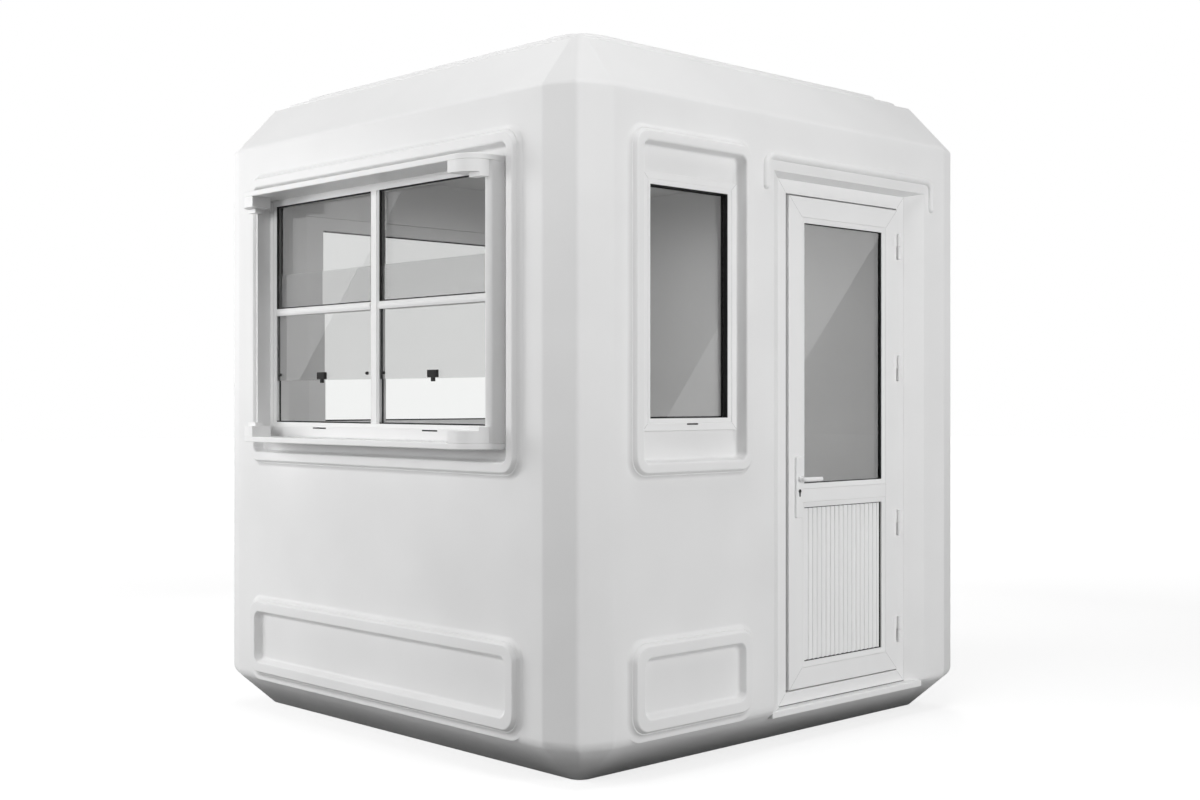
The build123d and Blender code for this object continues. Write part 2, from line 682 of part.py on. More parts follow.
# Hinges: the frame carries the lower knuckle and the pin, the leaf's knuckle drops onto it
with BuildPart() as door_hinges_fixed:
    for level in HINGE_LEVELS:
        bottom = level - HINGE_LENGTH / 2
        with BuildSketch(Plane.XY.offset(bottom)):
            rectangle_at(HALF - RECESS, HALF - RECESS + FLAP, HINGE_AXIS_Y + 3, FRAME_RIGHT - 12)
        extrude(amount=HINGE_LENGTH)
        barrel(bottom, KNUCKLE)
        with BuildSketch(Plane.XY.offset(bottom)):
            rectangle_at(HALF - RECESS, HINGE_AXIS_X, HINGE_AXIS_Y + 3, HINGE_AXIS_Y + 7)
        extrude(amount=KNUCKLE)
export("door_hinges_fixed", door_hinges_fixed)

with BuildPart() as door_hinges_moving:
    for level in HINGE_LEVELS:
        bottom = level + HINGE_LENGTH / 2 - KNUCKLE
        barrel(bottom, KNUCKLE)
        with BuildSketch(Plane.XY.offset(bottom)):
            rectangle_at(HALF - LEAF_FRONT, HALF - LEAF_FRONT + FLAP, LEAF_RIGHT - 26, LEAF_RIGHT)
        extrude(amount=KNUCKLE)
export("door_hinges_moving", door_hinges_moving)

# Handle: a long plate with a boss on the lock stile, and a lever that turns in front of it
PLATE_FRONT = LEAF_FRONT - PLATE_THICK
with BuildPart() as door_handle_plate:
    with BuildSketch(DOOR_SIDE.offset(-LEAF_FRONT)):
        rectangle_at(
            HANDLE_Y - PLATE_WIDTH / 2, HANDLE_Y + PLATE_WIDTH / 2, PLATE_LOW, PLATE_HIGH, radius=6
        )
    extrude(amount=PLATE_THICK)
    chamfer(door_handle_plate.faces().sort_by(Axis.X)[-1].edges(), 2)
export("door_handle_plate", door_handle_plate)

with BuildPart() as door_lever:
    with BuildSketch(DOOR_SIDE.offset(-PLATE_FRONT + LEVER_GAP)):
        with Locations((HANDLE_Y, HANDLE_LEVEL)):
            Circle(LEVER_RADIUS + 2)
    extrude(amount=LEVER_NECK)
    with BuildSketch(Plane.XZ.offset(-HANDLE_Y)):
        with Locations((HALF - PLATE_FRONT + LEVER_GAP + LEVER_NECK - LEVER_RADIUS, HANDLE_LEVEL)):
            RectangleRounded(2 * LEVER_RADIUS - 4, 2 * LEVER_RADIUS, 5)
    extrude(amount=-LEVER_REACH)
export("door_lever", door_lever)
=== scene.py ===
# %% [markdown]
# # A moulded guard booth
#
# The booth is a glass-fibre shell, laid up in a mould and sprayed with white gelcoat. PVC windows
# and a PVC door are set into it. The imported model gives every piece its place, so this lesson only
# dresses it: it gives the plain solids their soft edges, profiles, seals, fittings and finishes.

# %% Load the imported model
import math
import bmesh
import bpy
from mathutils import Matrix, Vector


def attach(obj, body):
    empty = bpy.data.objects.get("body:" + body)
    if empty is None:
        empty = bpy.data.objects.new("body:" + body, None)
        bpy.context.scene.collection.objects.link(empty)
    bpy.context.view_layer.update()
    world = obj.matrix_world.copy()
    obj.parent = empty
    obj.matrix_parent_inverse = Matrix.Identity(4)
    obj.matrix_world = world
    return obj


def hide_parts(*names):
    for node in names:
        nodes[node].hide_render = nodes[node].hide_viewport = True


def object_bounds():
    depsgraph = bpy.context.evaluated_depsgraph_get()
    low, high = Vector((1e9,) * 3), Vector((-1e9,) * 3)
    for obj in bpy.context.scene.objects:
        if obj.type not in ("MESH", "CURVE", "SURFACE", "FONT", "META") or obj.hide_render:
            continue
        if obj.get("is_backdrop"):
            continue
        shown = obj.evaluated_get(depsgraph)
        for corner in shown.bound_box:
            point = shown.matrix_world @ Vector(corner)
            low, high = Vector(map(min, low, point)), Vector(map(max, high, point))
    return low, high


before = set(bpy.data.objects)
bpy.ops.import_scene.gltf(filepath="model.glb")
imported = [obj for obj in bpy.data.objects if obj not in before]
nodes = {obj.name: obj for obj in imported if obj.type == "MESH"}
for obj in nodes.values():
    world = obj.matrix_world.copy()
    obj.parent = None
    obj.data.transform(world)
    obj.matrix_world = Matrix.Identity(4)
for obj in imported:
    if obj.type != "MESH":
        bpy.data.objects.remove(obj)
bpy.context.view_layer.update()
HALF = 1.075  # from the middle to each wall

# %% [markdown]
# ## Colour
#
# Paint charts and photographs give colours as sRGB hex values. Blender's sockets want linear
# light, so one function turns one into the other, and every colour below is written as hex.

# %% From hex to linear light
def linear(hex_colour):
    """The linear RGBA of an sRGB hex colour."""
    shares = [int(hex_colour[i:i + 2], 16) / 255 for i in (1, 3, 5)]
    return [s / 12.92 if s <= 0.04045 else ((s + 0.055) / 1.055) ** 2.4 for s in shares] + [1.0]


print("gelcoat white in linear light", [round(c, 3) for c in linear("#ECECEC")[:3]])

# %% [markdown]
# ## Building a finish
#
# A finish is a small chain of nodes. One helper adds a node, sets its values and wires its inputs,
# so that each finish below reads as a list of what happens to the surface.

# %% One helper for every node
def add_node(finish, kind, values=None, wires=None):
    """Adds a node to a material or world. values are its settings, wires its incoming links."""
    node = finish.node_tree.nodes.new(kind)
    for key, value in (values or {}).items():
        if isinstance(key, int) or key in node.inputs:
            node.inputs[key].default_value = value
        else:
            setattr(node, key, value)
    for key, source in (wires or {}).items():
        finish.node_tree.links.new(source, node.inputs[key])
    return node


def new_finish(name, values):
    """A material whose main shader has these values, and a place to measure patterns from."""
    finish = bpy.data.materials.new(name)
    finish.use_nodes = True
    shader = finish.node_tree.nodes["Principled BSDF"]
    for key, value in values.items():
        shader.inputs[key].default_value = value
    place = add_node(finish, "ShaderNodeTexCoord")
    return finish, shader, place.outputs["Object"]


def wire(finish, source, socket):
    """Links one output to one input."""
    finish.node_tree.links.new(source, socket)


# %% [markdown]
# Three habits return in every finish: a cloudy pattern of a known size, a drift between two close
# tones, and a relief that is too fine to model. Each is a short chain of nodes.

# %% Pattern, tones and relief
def noise(finish, spot, size, detail=2.0):
    """A cloudy pattern whose lumps are about size metres across."""
    values = {"Scale": 1 / size, "Detail": detail}
    return add_node(finish, "ShaderNodeTexNoise", values, {"Vector": spot})


def mottle(finish, shader, pattern, dark, light, ends=(0.0, 1.0)):
    """Lets the colour drift between two tones where the pattern does."""
    ramp = add_node(finish, "ShaderNodeValToRGB", wires={"Fac": pattern.outputs["Fac"]})
    for element, place, colour in zip(ramp.color_ramp.elements, ends, (dark, light)):
        element.position = place
        element.color = linear(colour)
    wire(finish, ramp.outputs["Color"], shader.inputs["Base Color"])


def relief(finish, shader, pattern, strength, depth, under=None):
    """Raises the surface by the pattern, on top of the relief under it."""
    wires = {"Height": pattern.outputs["Fac"]}
    if under:
        wires["Normal"] = under.outputs["Normal"]
    bump = add_node(finish, "ShaderNodeBump", {"Strength": strength, "Distance": depth}, wires)
    wire(finish, bump.outputs["Normal"], shader.inputs["Normal"])
    return bump


# %% [markdown]
# ## Gelcoat
#
# Gelcoat is a polyester skin, IOR about 1.55. It comes out of a polished mould, so it is satin to
# glossy, but the laminate behind it shrinks as it cures. That leaves a slow waviness, some 40 mm
# from crest to crest, and a fine print of the glass mat. The mat's real print is about 1 mm; it is
# drawn at 4 mm so that it shows. The eye reads both as a softness in the highlights.

# %% White gelcoat on moulded glass fibre
WAVINESS, MAT_PRINT = 0.040, 0.004
gelcoat, shader, spot = new_finish("white_gelcoat_moulded", {"IOR": 1.55})
cloud = noise(gelcoat, spot, 0.45)
mottle(gelcoat, shader, cloud, "#E7E7E7", "#EDEDED", (0.3, 0.7))
sheen = add_node(
    gelcoat, "ShaderNodeMapRange", {"To Min": 0.37, "To Max": 0.47}, {"Value": cloud.outputs["Fac"]}
)
wire(gelcoat, sheen.outputs["Result"], shader.inputs["Roughness"])
slow = relief(gelcoat, shader, noise(gelcoat, spot, WAVINESS, 1.0), 0.10, 0.0006)
relief(gelcoat, shader, noise(gelcoat, spot, MAT_PRINT), 0.06, 0.0002, slow)
print("gelcoat: waviness and mat print", WAVINESS, MAT_PRINT, "m")

# %% [markdown]
# ## Extruded PVC
#
# The window and door profiles are white PVC pushed through a die, IOR about 1.54. The die leaves
# very faint lines along the bar, less than 1 mm apart, drawn 3 mm apart here. Fresh PVC has a
# soft, slightly glossy skin, whiter than the gelcoat beside it.

# %% White extruded PVC
DIE_LINES = 0.003
pvc, shader, spot = new_finish("white_pvc_extruded", {"Roughness": 0.34, "IOR": 1.54})
mottle(pvc, shader, noise(pvc, spot, 0.2), "#EBEBEB", "#F0F0F0")
relief(pvc, shader, noise(pvc, spot, DIE_LINES, 1.0), 0.05, 0.0001)
print("pvc: die lines", DIE_LINES, "m")

# %% [markdown]
# The corners of a PVC frame are welded with a hot plate, and the weld is trimmed with a knife.
# What is left is a hair-thin groove. Its shade is painted: a thin strip over the mitre gets a greyer
# finish.

# %% Painted shade of the trimmed weld
# Painted shade: this grey stands for the shade in the trimmed weld grooves.
weld, shader, spot = new_finish("pvc_weld_groove_painted_shade", {"Roughness": 0.6, "IOR": 1.54})
mottle(weld, shader, noise(weld, spot, 0.01), "#B4B4B4", "#C6C6C6")
print("weld seam: grey, matt")

# %% [markdown]
# ## Glass
#
# The panes are float glass, IOR 1.52, tinted smoke grey in the melt. Float glass is flat to a few
# hundredths of a millimetre, so the roughness is almost nothing, with a slow ripple some 120 mm
# long. One tinted pane lets through about 70% of the light. Its faces reflect about 8%, so the
# tint itself passes 76%. The far window's glass is clear.

# %% Smoke-tinted and clear float glass
SMOKE, RIPPLE = "#E2E2E2", 0.12


def float_glass(name, tint):
    """A see-through pane with the slow ripple of float glass."""
    values = {"Base Color": linear(tint), "Roughness": 0.0, "IOR": 1.52, "Transmission Weight": 1.0}
    glass, shader, spot = new_finish(name, values)
    relief(glass, shader, noise(glass, spot, RIPPLE, 0.0), 0.02, 0.0003)
    return glass


smoked_glass = float_glass("smoke_tinted_float_glass", SMOKE)
clear_glass = float_glass("clear_float_glass", "#F8F9F8")
print("glass: tint passes", round(linear(SMOKE)[0], 2))

# %% [markdown]
# ## Rubber, nylon and coated metal
#
# The glazing seals are extruded EPDM rubber: black and matt, with a trace of bloom. The tape that
# beds the fixed panes is grey butyl. Latches are moulded nylon, black with a spark-eroded grain of
# about 0.5 mm, drawn at 1.5 mm; the same black, on thin blocks, is painted shade in the drain slots.
# The lever, its plate and the hinges are die-cast metal under a white powder coat, whose orange peel
# has a pitch of about 2 mm.

# %% Seals, mouldings and powder coat
GRAIN_DEPTH = 0.0002


def grained(name, dark, light, roughness, ior, pitch, strength):
    """A finish of two close tones with a fine grain of the given pitch in metres."""
    finish, shader, spot = new_finish(name, {"Roughness": roughness, "IOR": ior})
    grain = noise(finish, spot, pitch)
    mottle(finish, shader, grain, dark, light)
    relief(finish, shader, grain, strength, GRAIN_DEPTH)
    return finish


epdm = grained("black_epdm_rubber_seal", "#0E0E0E", "#1C1C1C", 0.62, 1.52, 0.006, 0.1)
# This grey is the real butyl tape, and also the painted shadow gap at the foot of the door frame.
glazing_tape = grained("grey_butyl_tape_and_gap_shade", "#7C7C7C", "#8C8C8C", 0.55, 1.5, 0.006, 0.1)
# This black is the real nylon of the latches, and also the painted shade of the drain slots.
nylon = grained("black_nylon_and_drain_slot_shade", "#161616", "#222222", 0.48, 1.53, 0.0015, 0.25)
powder_coat = grained("white_powder_coated_metal", "#E9E9E9", "#F0F0F0", 0.38, 1.5, 0.002, 0.12)
vinyl = grained("grey_vinyl_floor_sheet", "#A6A6A3", "#B9B9B6", 0.55, 1.5, 0.004, 0.1)
print("small finishes", [m.name for m in (epdm, glazing_tape, nylon, powder_coat, vinyl)])

# %% [markdown]
# ## Finishes for the solids that stay
#
# Flat walls, posts, floor, ceiling and panes are already right as solids, so they keep their
# meshes and only take a finish.

# %% Dress the carried-over solids
def dress(names, finish):
    """Gives each named solid one finish."""
    for name in names:
        for place in nodes[name].material_slots:
            place.material = finish


posts = [f"corner_post_{side}" for side in ("front_right", "front_left", "rear_right", "rear_left")]
walls = ["front_wall", "left_wall", "rear_wall"]
walls += ["door_wall_window_bay", "door_wall_header", "door_wall_end_bay"]
smoked_panes = ["front_window_glass", "front_hatch_panes", "side_window_glass", "door_glass"]
for names, finish in (
    (posts + walls + ["ceiling_panel"], gelcoat),
    (["door_sill", "door_stop_strips"], pvc),
    (["floor_panel"], vinyl),
    (smoked_panes, smoked_glass),
    (["left_window_glass"], clear_glass),
):
    dress(names, finish)
    print(finish.name, "on", len(names), "solids")

# %% [markdown]
# ## Working on a wall
#
# Almost every piece sits on one of the four walls. It is easiest to think of a wall as a sheet of
# paper: u runs along it, v is the height, and off is the distance out of its face. One table turns
# that into the booth's own space.

# %% Four walls as sheets of paper
WALL_SHEETS = {
    "front": (Vector((1, 0, 0)), Vector((0, -1, 0))),
    "door": (Vector((0, 1, 0)), Vector((1, 0, 0))),
    "left": (Vector((0, -1, 0)), Vector((-1, 0, 0))),
    "rear": (Vector((-1, 0, 0)), Vector((0, 1, 0))),
}


def on_wall(wall, u, v, off):
    """A point of the booth, from its place on a wall's sheet."""
    along, out = WALL_SHEETS[wall]
    return along * u + out * (HALF + off) + Vector((0, 0, v))


print("a corner of the front wall", tuple(on_wall("front", 0.885, 2.2, 0)))

# %% [markdown]
# ## Rounding corners
#
# Moulds and profiles have no sharp corners. Each outline is written as its corner points, with a
# radius where the real corner is eased, and one function turns them into a smooth run.

# %% Ease the corners of a run of points
def eased(points, steps=5, closed=False):
    """Rounds the corners of a run of (x, y) or (x, y, radius) points."""
    run = []
    for i, point in enumerate(points):
        corner = Vector(point[:2])
        radius = point[2] if len(point) > 2 else 0
        if not radius or (not closed and i in (0, len(points) - 1)):
            run.append(corner)
            continue
        before = (Vector(points[i - 1][:2]) - corner).normalized()
        after = (Vector(points[(i + 1) % len(points)][:2]) - corner).normalized()
        half = before.angle(after) / 2
        centre = corner + (before + after).normalized() * (radius / math.sin(half))
        arm = corner + before * (radius / math.tan(half)) - centre
        turn = math.pi - 2 * half
        if before.x * after.y - before.y * after.x > 0:
            turn = -turn
        run += [centre + Matrix.Rotation(turn * step / steps, 2) @ arm for step in range(steps + 1)]
    return run


square = [(0, 0, 1), (9, 0, 1), (9, 9, 1), (0, 9, 1)]
print("a square with eased corners has", len(eased(square, 5, True)), "points")

# %% [markdown]
# ## Three ways to make a skin
#
# A moulding that runs round an opening is a row of loops joined edge to edge. A bar is a section
# pushed along a line. A knob is a profile turned about an axis. All three come down to the same
# thing, loops with equal counts, so one function joins them.

# %% Join loops into a skin
def skin(loops, closed=False):
    """Joins equal loops with quads. An open row is capped at both ends."""
    count = len(loops[0])
    points = [point for loop in loops for point in loop]
    faces = []
    rows = len(loops) if closed else len(loops) - 1
    for row in range(rows):
        here, there = row * count, ((row + 1) % len(loops)) * count
        for i in range(count):
            j = (i + 1) % count
            faces.append([here + i, here + j, there + j, there + i])
    if not closed:
        faces.append(list(range(count)))
        faces.append(list(range((len(loops) - 1) * count, len(loops) * count)))
    return points, faces


def rectangle_loop(limits, radius=0.0, steps=0):
    """A rectangle (low u, high u, low v, high v), with the same number of points at each corner."""
    low_u, high_u, low_v, high_v = limits
    loop = []
    for u, v, start in (
        (high_u - radius, low_v + radius, -90),
        (high_u - radius, high_v - radius, 0),
        (low_u + radius, high_v - radius, 90),
        (low_u + radius, low_v + radius, 180),
    ):
        for step in range(steps + 1):
            angle = math.radians(start + 90 * step / max(steps, 1))
            loop.append((u + radius * math.cos(angle), v + radius * math.sin(angle)))
    return loop


def pulled_in(limits, inset):
    """The limits moved in by inset on every side."""
    low_u, high_u, low_v, high_v = limits
    return low_u + inset, high_u - inset, low_v + inset, high_v - inset


def run_round(wall, stations, steps=0):
    """A moulding round an opening. Each station is (limits, corner radius, off)."""
    loops = []
    for limits, radius, off in stations:
        loops.append([on_wall(wall, u, v, off) for u, v in rectangle_loop(limits, radius, steps)])
    return skin(loops, closed=True)


def bar_on_wall(wall, section, low, high, upright=True):
    """A section of (across, off) points pushed along the wall, up it or along it."""
    if upright:
        return skin([[on_wall(wall, a, end, off) for a, off in section] for end in (low, high)])
    return skin([[on_wall(wall, end, a, off) for a, off in section] for end in (low, high)])


def block_on_wall(wall, limits, low_off, high_off, ease=0.0):
    """A block on the wall with its front edges eased."""
    stations = [(limits, low_off), (limits, high_off - ease), (pulled_in(limits, ease), high_off)]
    boxes = [(rectangle_loop(box), off) for box, off in stations]
    return skin([[on_wall(wall, u, v, off) for u, v in box] for box, off in boxes])


print("skins: run round, pushed along, turned")

# %% [markdown]
# ## From a skin to a piece
#
# Each piece is one mesh, smooth where it is rounded and crisp where two faces meet at a real edge.
# Weighted normals keep the big flats flat beside small radii, which is what stops a moulding from
# looking inflated. The piece then rides on its body and stands in for the plain solid.

# %% Make a piece
CREASE = math.radians(38)  # two faces that meet at more than this keep a crisp edge


def mesh_of(name, skins):
    """One mesh from several skins, with all its faces turned outwards."""
    points, faces = [], []
    for skin_points, skin_faces in skins:
        first = len(points)
        points += skin_points
        faces += [[first + i for i in face] for face in skin_faces]
    mesh = bpy.data.meshes.new(name)
    mesh.from_pydata(points, [], faces)
    work = bmesh.new()
    work.from_mesh(mesh)
    bmesh.ops.recalc_face_normals(work, faces=work.faces)
    work.to_mesh(mesh)
    work.free()
    return mesh


def placed(name, mesh):
    """The mesh as an object of the scene."""
    thing = bpy.data.objects.new(name, mesh)
    bpy.context.scene.collection.objects.link(thing)
    return thing


def keep_flats_flat(thing):
    """Crisp edges at the creases, and weighted normals over the rest."""
    thing.data.set_sharp_from_angle(angle=CREASE)
    flats = thing.modifiers.new("flats_stay_flat", "WEIGHTED_NORMAL")
    flats.keep_sharp = True


def make_piece(name, skins, finish, body="booth", stands_for=(), ease=0.0):
    """Builds one mesh from skins, finishes it, and puts it in the place of the named solids."""
    mesh = mesh_of(name, skins)
    mesh.materials.append(finish)
    mesh.shade_smooth()
    thing = placed(name, mesh)
    if ease:
        rounding = thing.modifiers.new("eased_edges", "BEVEL")
        rounding.width = ease
        rounding.segments = 3
        rounding.limit_method = "ANGLE"
        rounding.angle_limit = math.radians(35)
    keep_flats_flat(thing)
    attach(thing, body)
    if stands_for:
        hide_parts(*stands_for)
    print(name, "faces", len(mesh.polygons))
    return thing


# %% [markdown]
# ## The shell's outline
#
# Seen from above the booth is a square whose corners are cut by two facets each. The mould's edges
# are radiused at about 30 mm. Pulling the outline in gives the sloping base and the sloping roof.

# %% Plan of the shell
FACET_RUN, FACET_INSET, EDGE_RADIUS = 0.160, 0.044, 0.030
FACET_ANGLE = math.atan2(FACET_INSET, FACET_RUN - FACET_INSET)


def shell_plan(inset, radius=EDGE_RADIUS):
    """The shell's outline pulled in by inset, with its twelve edges rounded."""
    run = HALF - FACET_RUN - inset * math.tan(FACET_ANGLE / 2)
    corner = HALF - FACET_INSET - inset / (math.cos(FACET_ANGLE) + math.sin(FACET_ANGLE))
    points = [(HALF - inset, run, radius), (corner, corner, radius), (run, HALF - inset, radius)]
    for _ in range(3):
        points += [(-y, x, radius) for x, y, _ in points[-3:]]
    return eased(points, 4, closed=True)


def stacked(levels, closed=False):
    """A skin through the outline at each (inset, height, edge radius) level."""
    loops = []
    for inset, height, radius in levels:
        loops.append([Vector((p.x, p.y, height)) for p in shell_plan(inset, radius)])
    return skin(loops, closed)


print("plan points", len(shell_plan(0)))

# %% [markdown]
# ## The base
#
# The base slopes in under the walls to a smaller foot, so the booth seems to float. Its ridge is a
# large soft radius. The doorway is cut down into it, so the cut is made with a boolean, the way
# the real one is trimmed with a router after moulding.

# %% Base skirt
RIDGE_LOW, BASE_TOP, SKIRT_INSET = 0.134, 0.160, 0.150
FLOOR_LEVEL, FLOOR_BOARD, WALL = 0.133, 0.024, 0.080
RECESS, DOORWAY = 0.044, (-0.133, 0.778)
DOOR_FRAME = (-0.059, 0.705, FLOOR_LEVEL, 2.017)
SILL_Y, SILL_DEPTH = (-0.130, 0.770), 0.026
SHARP = 0.001  # edge radius where the real edge is left sharp


def ridge(level, direction, run, rise, radius, steps=10):
    """(inset, height) round the ridge between the upright wall and a slope."""
    turn = math.atan2(run, rise)
    back = radius * math.tan(turn / 2)
    found = []
    for step in range(steps + 1):
        angle = turn * step / steps
        height = level + direction * (radius * math.sin(angle) - back)
        found.append((radius * (1 - math.cos(angle)), height, EDGE_RADIUS))
    return found


def cut(piece, tool):
    """Takes the tool's volume out of a piece, then throws the tool away."""
    cutter = placed("cutter", mesh_of("cutter", [tool]))
    trim = piece.modifiers.new("trim", "BOOLEAN")
    trim.operation = "DIFFERENCE"
    trim.solver = "EXACT"
    trim.object = cutter
    piece.modifiers.move(len(piece.modifiers) - 1, 0)
    kept = bpy.context.evaluated_depsgraph_get()
    trimmed = bpy.data.meshes.new_from_object(piece.evaluated_get(kept))
    old = piece.data
    piece.modifiers.clear()
    piece.data = trimmed
    keep_flats_flat(piece)
    bpy.data.meshes.remove(old)
    bpy.data.objects.remove(cutter)


def upright(plan, low, high):
    """A plan of (x, y) points pushed up from one height to another."""
    return skin([[Vector((x, y, z)) for x, y in plan] for z in (low, high)])


base = [(WALL, FLOOR_LEVEL - FLOOR_BOARD, SHARP), (WALL, BASE_TOP, SHARP)]
base += [(0, BASE_TOP, EDGE_RADIUS)]
base += ridge(RIDGE_LOW, -1, SKIRT_INSET, RIDGE_LOW, 0.045) + [(SKIRT_INSET, 0, EDGE_RADIUS)]
skirt = make_piece("base_skirt_moulded", [stacked(base)], gelcoat, stands_for=["base_skirt"])
mouth = [
    (HALF - 0.16, DOOR_FRAME[0]),
    (HALF - RECESS, DOOR_FRAME[0]),
    (HALF + 0.001, DOORWAY[0] - 0.0017),
    (HALF + 0.001, DOORWAY[1] + 0.0017),
    (HALF - RECESS, DOOR_FRAME[1]),
    (HALF - 0.16, DOOR_FRAME[1]),
]
cut(skirt, upright(mouth, FLOOR_LEVEL, 0.3))
sill_place = rectangle_loop((HALF - RECESS, HALF + 0.1) + SILL_Y)
cut(skirt, upright(sill_place, FLOOR_LEVEL - SILL_DEPTH, FLOOR_LEVEL + 0.0002))
print("base faces after trimming", len(skirt.data.polygons))

# %% [markdown]
# ## The roof
#
# Above the walls the shell leans in at about 40 degrees, with the same faceted corners, and ends
# under a roof cap with two stepped lips. The cap's corners are large plan radii, so a square plate
# under it closes the slope's own corners. Rain runs off the steps, and the steps stiffen the
# sheet.

# %% Roof slope and stepped cap
WALL_TOP, RIDGE_HIGH, SLOPE_TOP, SLOPE_INSET = 2.200, 2.226, 2.400, 0.150
slope = [(0, WALL_TOP, EDGE_RADIUS)]
slope += ridge(RIDGE_HIGH, 1, SLOPE_INSET, SLOPE_TOP - RIDGE_HIGH, 0.030)
slope += [(SLOPE_INSET, SLOPE_TOP, EDGE_RADIUS), (0.190, SLOPE_TOP, SHARP)]
slope += [(WALL, RIDGE_HIGH, SHARP), (WALL, WALL_TOP, SHARP)]
make_piece("roof_slope_moulded", [stacked(slope, True)], gelcoat, stands_for=["roof_slope_band"])

cap_section = [
    (0.172, 2.400),
    (0.172, 2.418, 0.008),
    (0.228, 2.418, 0.012),
    (0.228, 2.446, 0.010),
    (0.420, 2.446, 0.020),
    (0.430, 2.456, 0.006),
    (0.480, 2.456),
]
CAP_CORNER = 0.11
cap = []
for place in eased(cap_section, 4):
    edge = HALF - place.x
    outline = rectangle_loop((-edge, edge, -edge, edge), CAP_CORNER, 8)
    cap.append([Vector((x, y, place.y)) for x, y in outline])
edge = HALF - 0.186
plate = upright(rectangle_loop((-edge, edge, -edge, edge)), SLOPE_TOP - 0.010, SLOPE_TOP - 0.0002)
make_piece("roof_cap_stepped", [skin(cap), plate], gelcoat, stands_for=["roof_top"])

# %% [markdown]
# ## Raised rims
#
# The rims round the windows and the blank panels are pressed out of the same sheet. A mould needs
# draft, so their flanks lean by about 30 degrees. From the wall the sheet sweeps up through a cove
# to a small ledge, leans back again, and rolls over a soft shoulder onto the flat. The cove gives
# the soft shadow beside each rim, and the ledge draws the thin bright line along it.

# %% Rim profile
RISE, RIM_WIDTH, RIM_CORNER, FIELD = 0.025, 0.050, 0.062, 0.018
COVE, SHOULDER, LEDGE = 0.020, 0.006, 0.0095
LEAN = RISE * math.tan(math.radians(30))
ROOT = -0.003  # a rim's hidden root, inside the wall


def rim_flank():
    """(inset, off) from the wall up the cove, over the ledge, up the flank, over the shoulder."""
    return [
        (-0.022, -0.0006),
        (-0.002, -0.0001, COVE),
        (0.0028, LEDGE, 0.0016),
        (0.0064, LEDGE + 0.0010, 0.0012),
        (LEAN, RISE, SHOULDER),
        (RIM_WIDTH / 2, RISE),
    ]


def rim_stations(limits, run, rounding):
    """The root and the run of a rim. Its corner radius shrinks inwards by the rounding share."""
    stations = [(pulled_in(limits, run[0].x), RIM_CORNER - run[0].x, ROOT)]
    for point in run:
        corner = max(RIM_CORNER - point.x * rounding, 0.001)
        stations.append((pulled_in(limits, point.x), corner, point.y))
    return stations


def blank_panel_rim(wall, limits):
    """A rim round a flat field of the wall itself."""
    inner_flank = [(RIM_WIDTH, RISE, SHOULDER), (RIM_WIDTH + LEAN, 0, 0.014), (0.082, -0.0006)]
    stations = rim_stations(limits, eased(rim_flank()[:-1] + inner_flank), 0.62)
    inner, corner, _ = stations[-1]
    return run_round(wall, stations + [(inner, corner, ROOT)], 10)


WIDE = 0.810
WINDOW_V = (0.978, 2.106)
PANEL_V = (0.150, 0.451)
SIDE_U = (-0.847, -0.257)
for wall, u_limits, solid in (
    ("front", (-WIDE, WIDE), "front_lower_panel_rim"),
    ("left", (-WIDE, WIDE), "left_lower_panel_rim"),
    ("rear", (-WIDE, WIDE), "rear_lower_panel_rim"),
    ("door", SIDE_U, "side_lower_panel_rim"),
):
    skins = [blank_panel_rim(wall, u_limits + PANEL_V)]
    make_piece(solid + "_moulded", skins, gelcoat, stands_for=[solid])

# %% [markdown]
# ## Window surrounds
#
# Round a window the same rim goes on over an inner shoulder and down into a tray, set back from
# the wall, with the opening for the window cut through its floor.

# %% Surround with a set-back tray
TRAY_EDGE = RIM_WIDTH - 0.012


def window_surround(wall, limits, opening):
    """A rim, the tray inside it and the hole for the frame, through the whole wall."""
    tray_side = [(0.046, RISE, 0.008), (0.053, -FIELD, 0.009), (0.068, -FIELD)]
    stations = rim_stations(limits, eased(rim_flank()[:-1] + tray_side), 0.8)
    stations += [(opening, 0.0005, -FIELD), (opening, 0.0005, -WALL)]
    outside, corner = pulled_in(limits, TRAY_EDGE), RIM_CORNER - TRAY_EDGE
    stations += [(outside, corner, -WALL), (outside, corner, ROOT)]
    return run_round(wall, stations, 10)


WIDE_HOLE = (-0.693, 0.693, 1.087, 2.003)
SIDE_HOLE = (-0.781, -0.323, 1.126, 1.968)
for wall, u_limits, opening, solid in (
    ("front", (-WIDE, WIDE), WIDE_HOLE, "front_window_surround"),
    ("left", (-WIDE, WIDE), WIDE_HOLE, "left_window_surround"),
    ("door", SIDE_U, SIDE_HOLE, "side_window_surround"),
):
    skins = [window_surround(wall, u_limits + WINDOW_V, opening)]
    make_piece(solid + "_moulded", skins, gelcoat, stands_for=[solid])

# %% [markdown]
# ## Window frames
#
# A PVC frame is mitred and welded, so its section runs round the corners unbroken. Beside the
# glass a snap-in bead closes it, with a hair line where it meets the frame and a slope that throws
# water off. The section below is drawn once and run round each opening.

# %% Frame section, seals and weld lines
FACE, FRAME_BACK, GLASS_FACE, PANE = -0.006, -0.066, -0.030, 0.0062
WELD_HALF, WELD_SUNK, WELD_PROUD = 0.0006, -0.001, 0.0001


def grown(limits, width):
    """The limits moved out by width on every side."""
    return pulled_in(limits, -width)


def frame_stations(outer, light, face=FACE, back=FRAME_BACK):
    """Stations of a frame from its outer edge over the face and the bead into the reveal."""
    return [
        (outer, 0, back),
        (outer, 0, face - 0.0015),
        (pulled_in(outer, 0.0015), 0, face),
        (grown(light, 0.0170), 0, face),
        (grown(light, 0.0166), 0, face - 0.0018),
        (grown(light, 0.0152), 0, face - 0.0018),
        (grown(light, 0.0148), 0, face - 0.0004),
        (grown(light, 0.0020), 0, face - 0.0030),
        (light, 0, face - 0.0050),
        (light, 0, back),
    ]


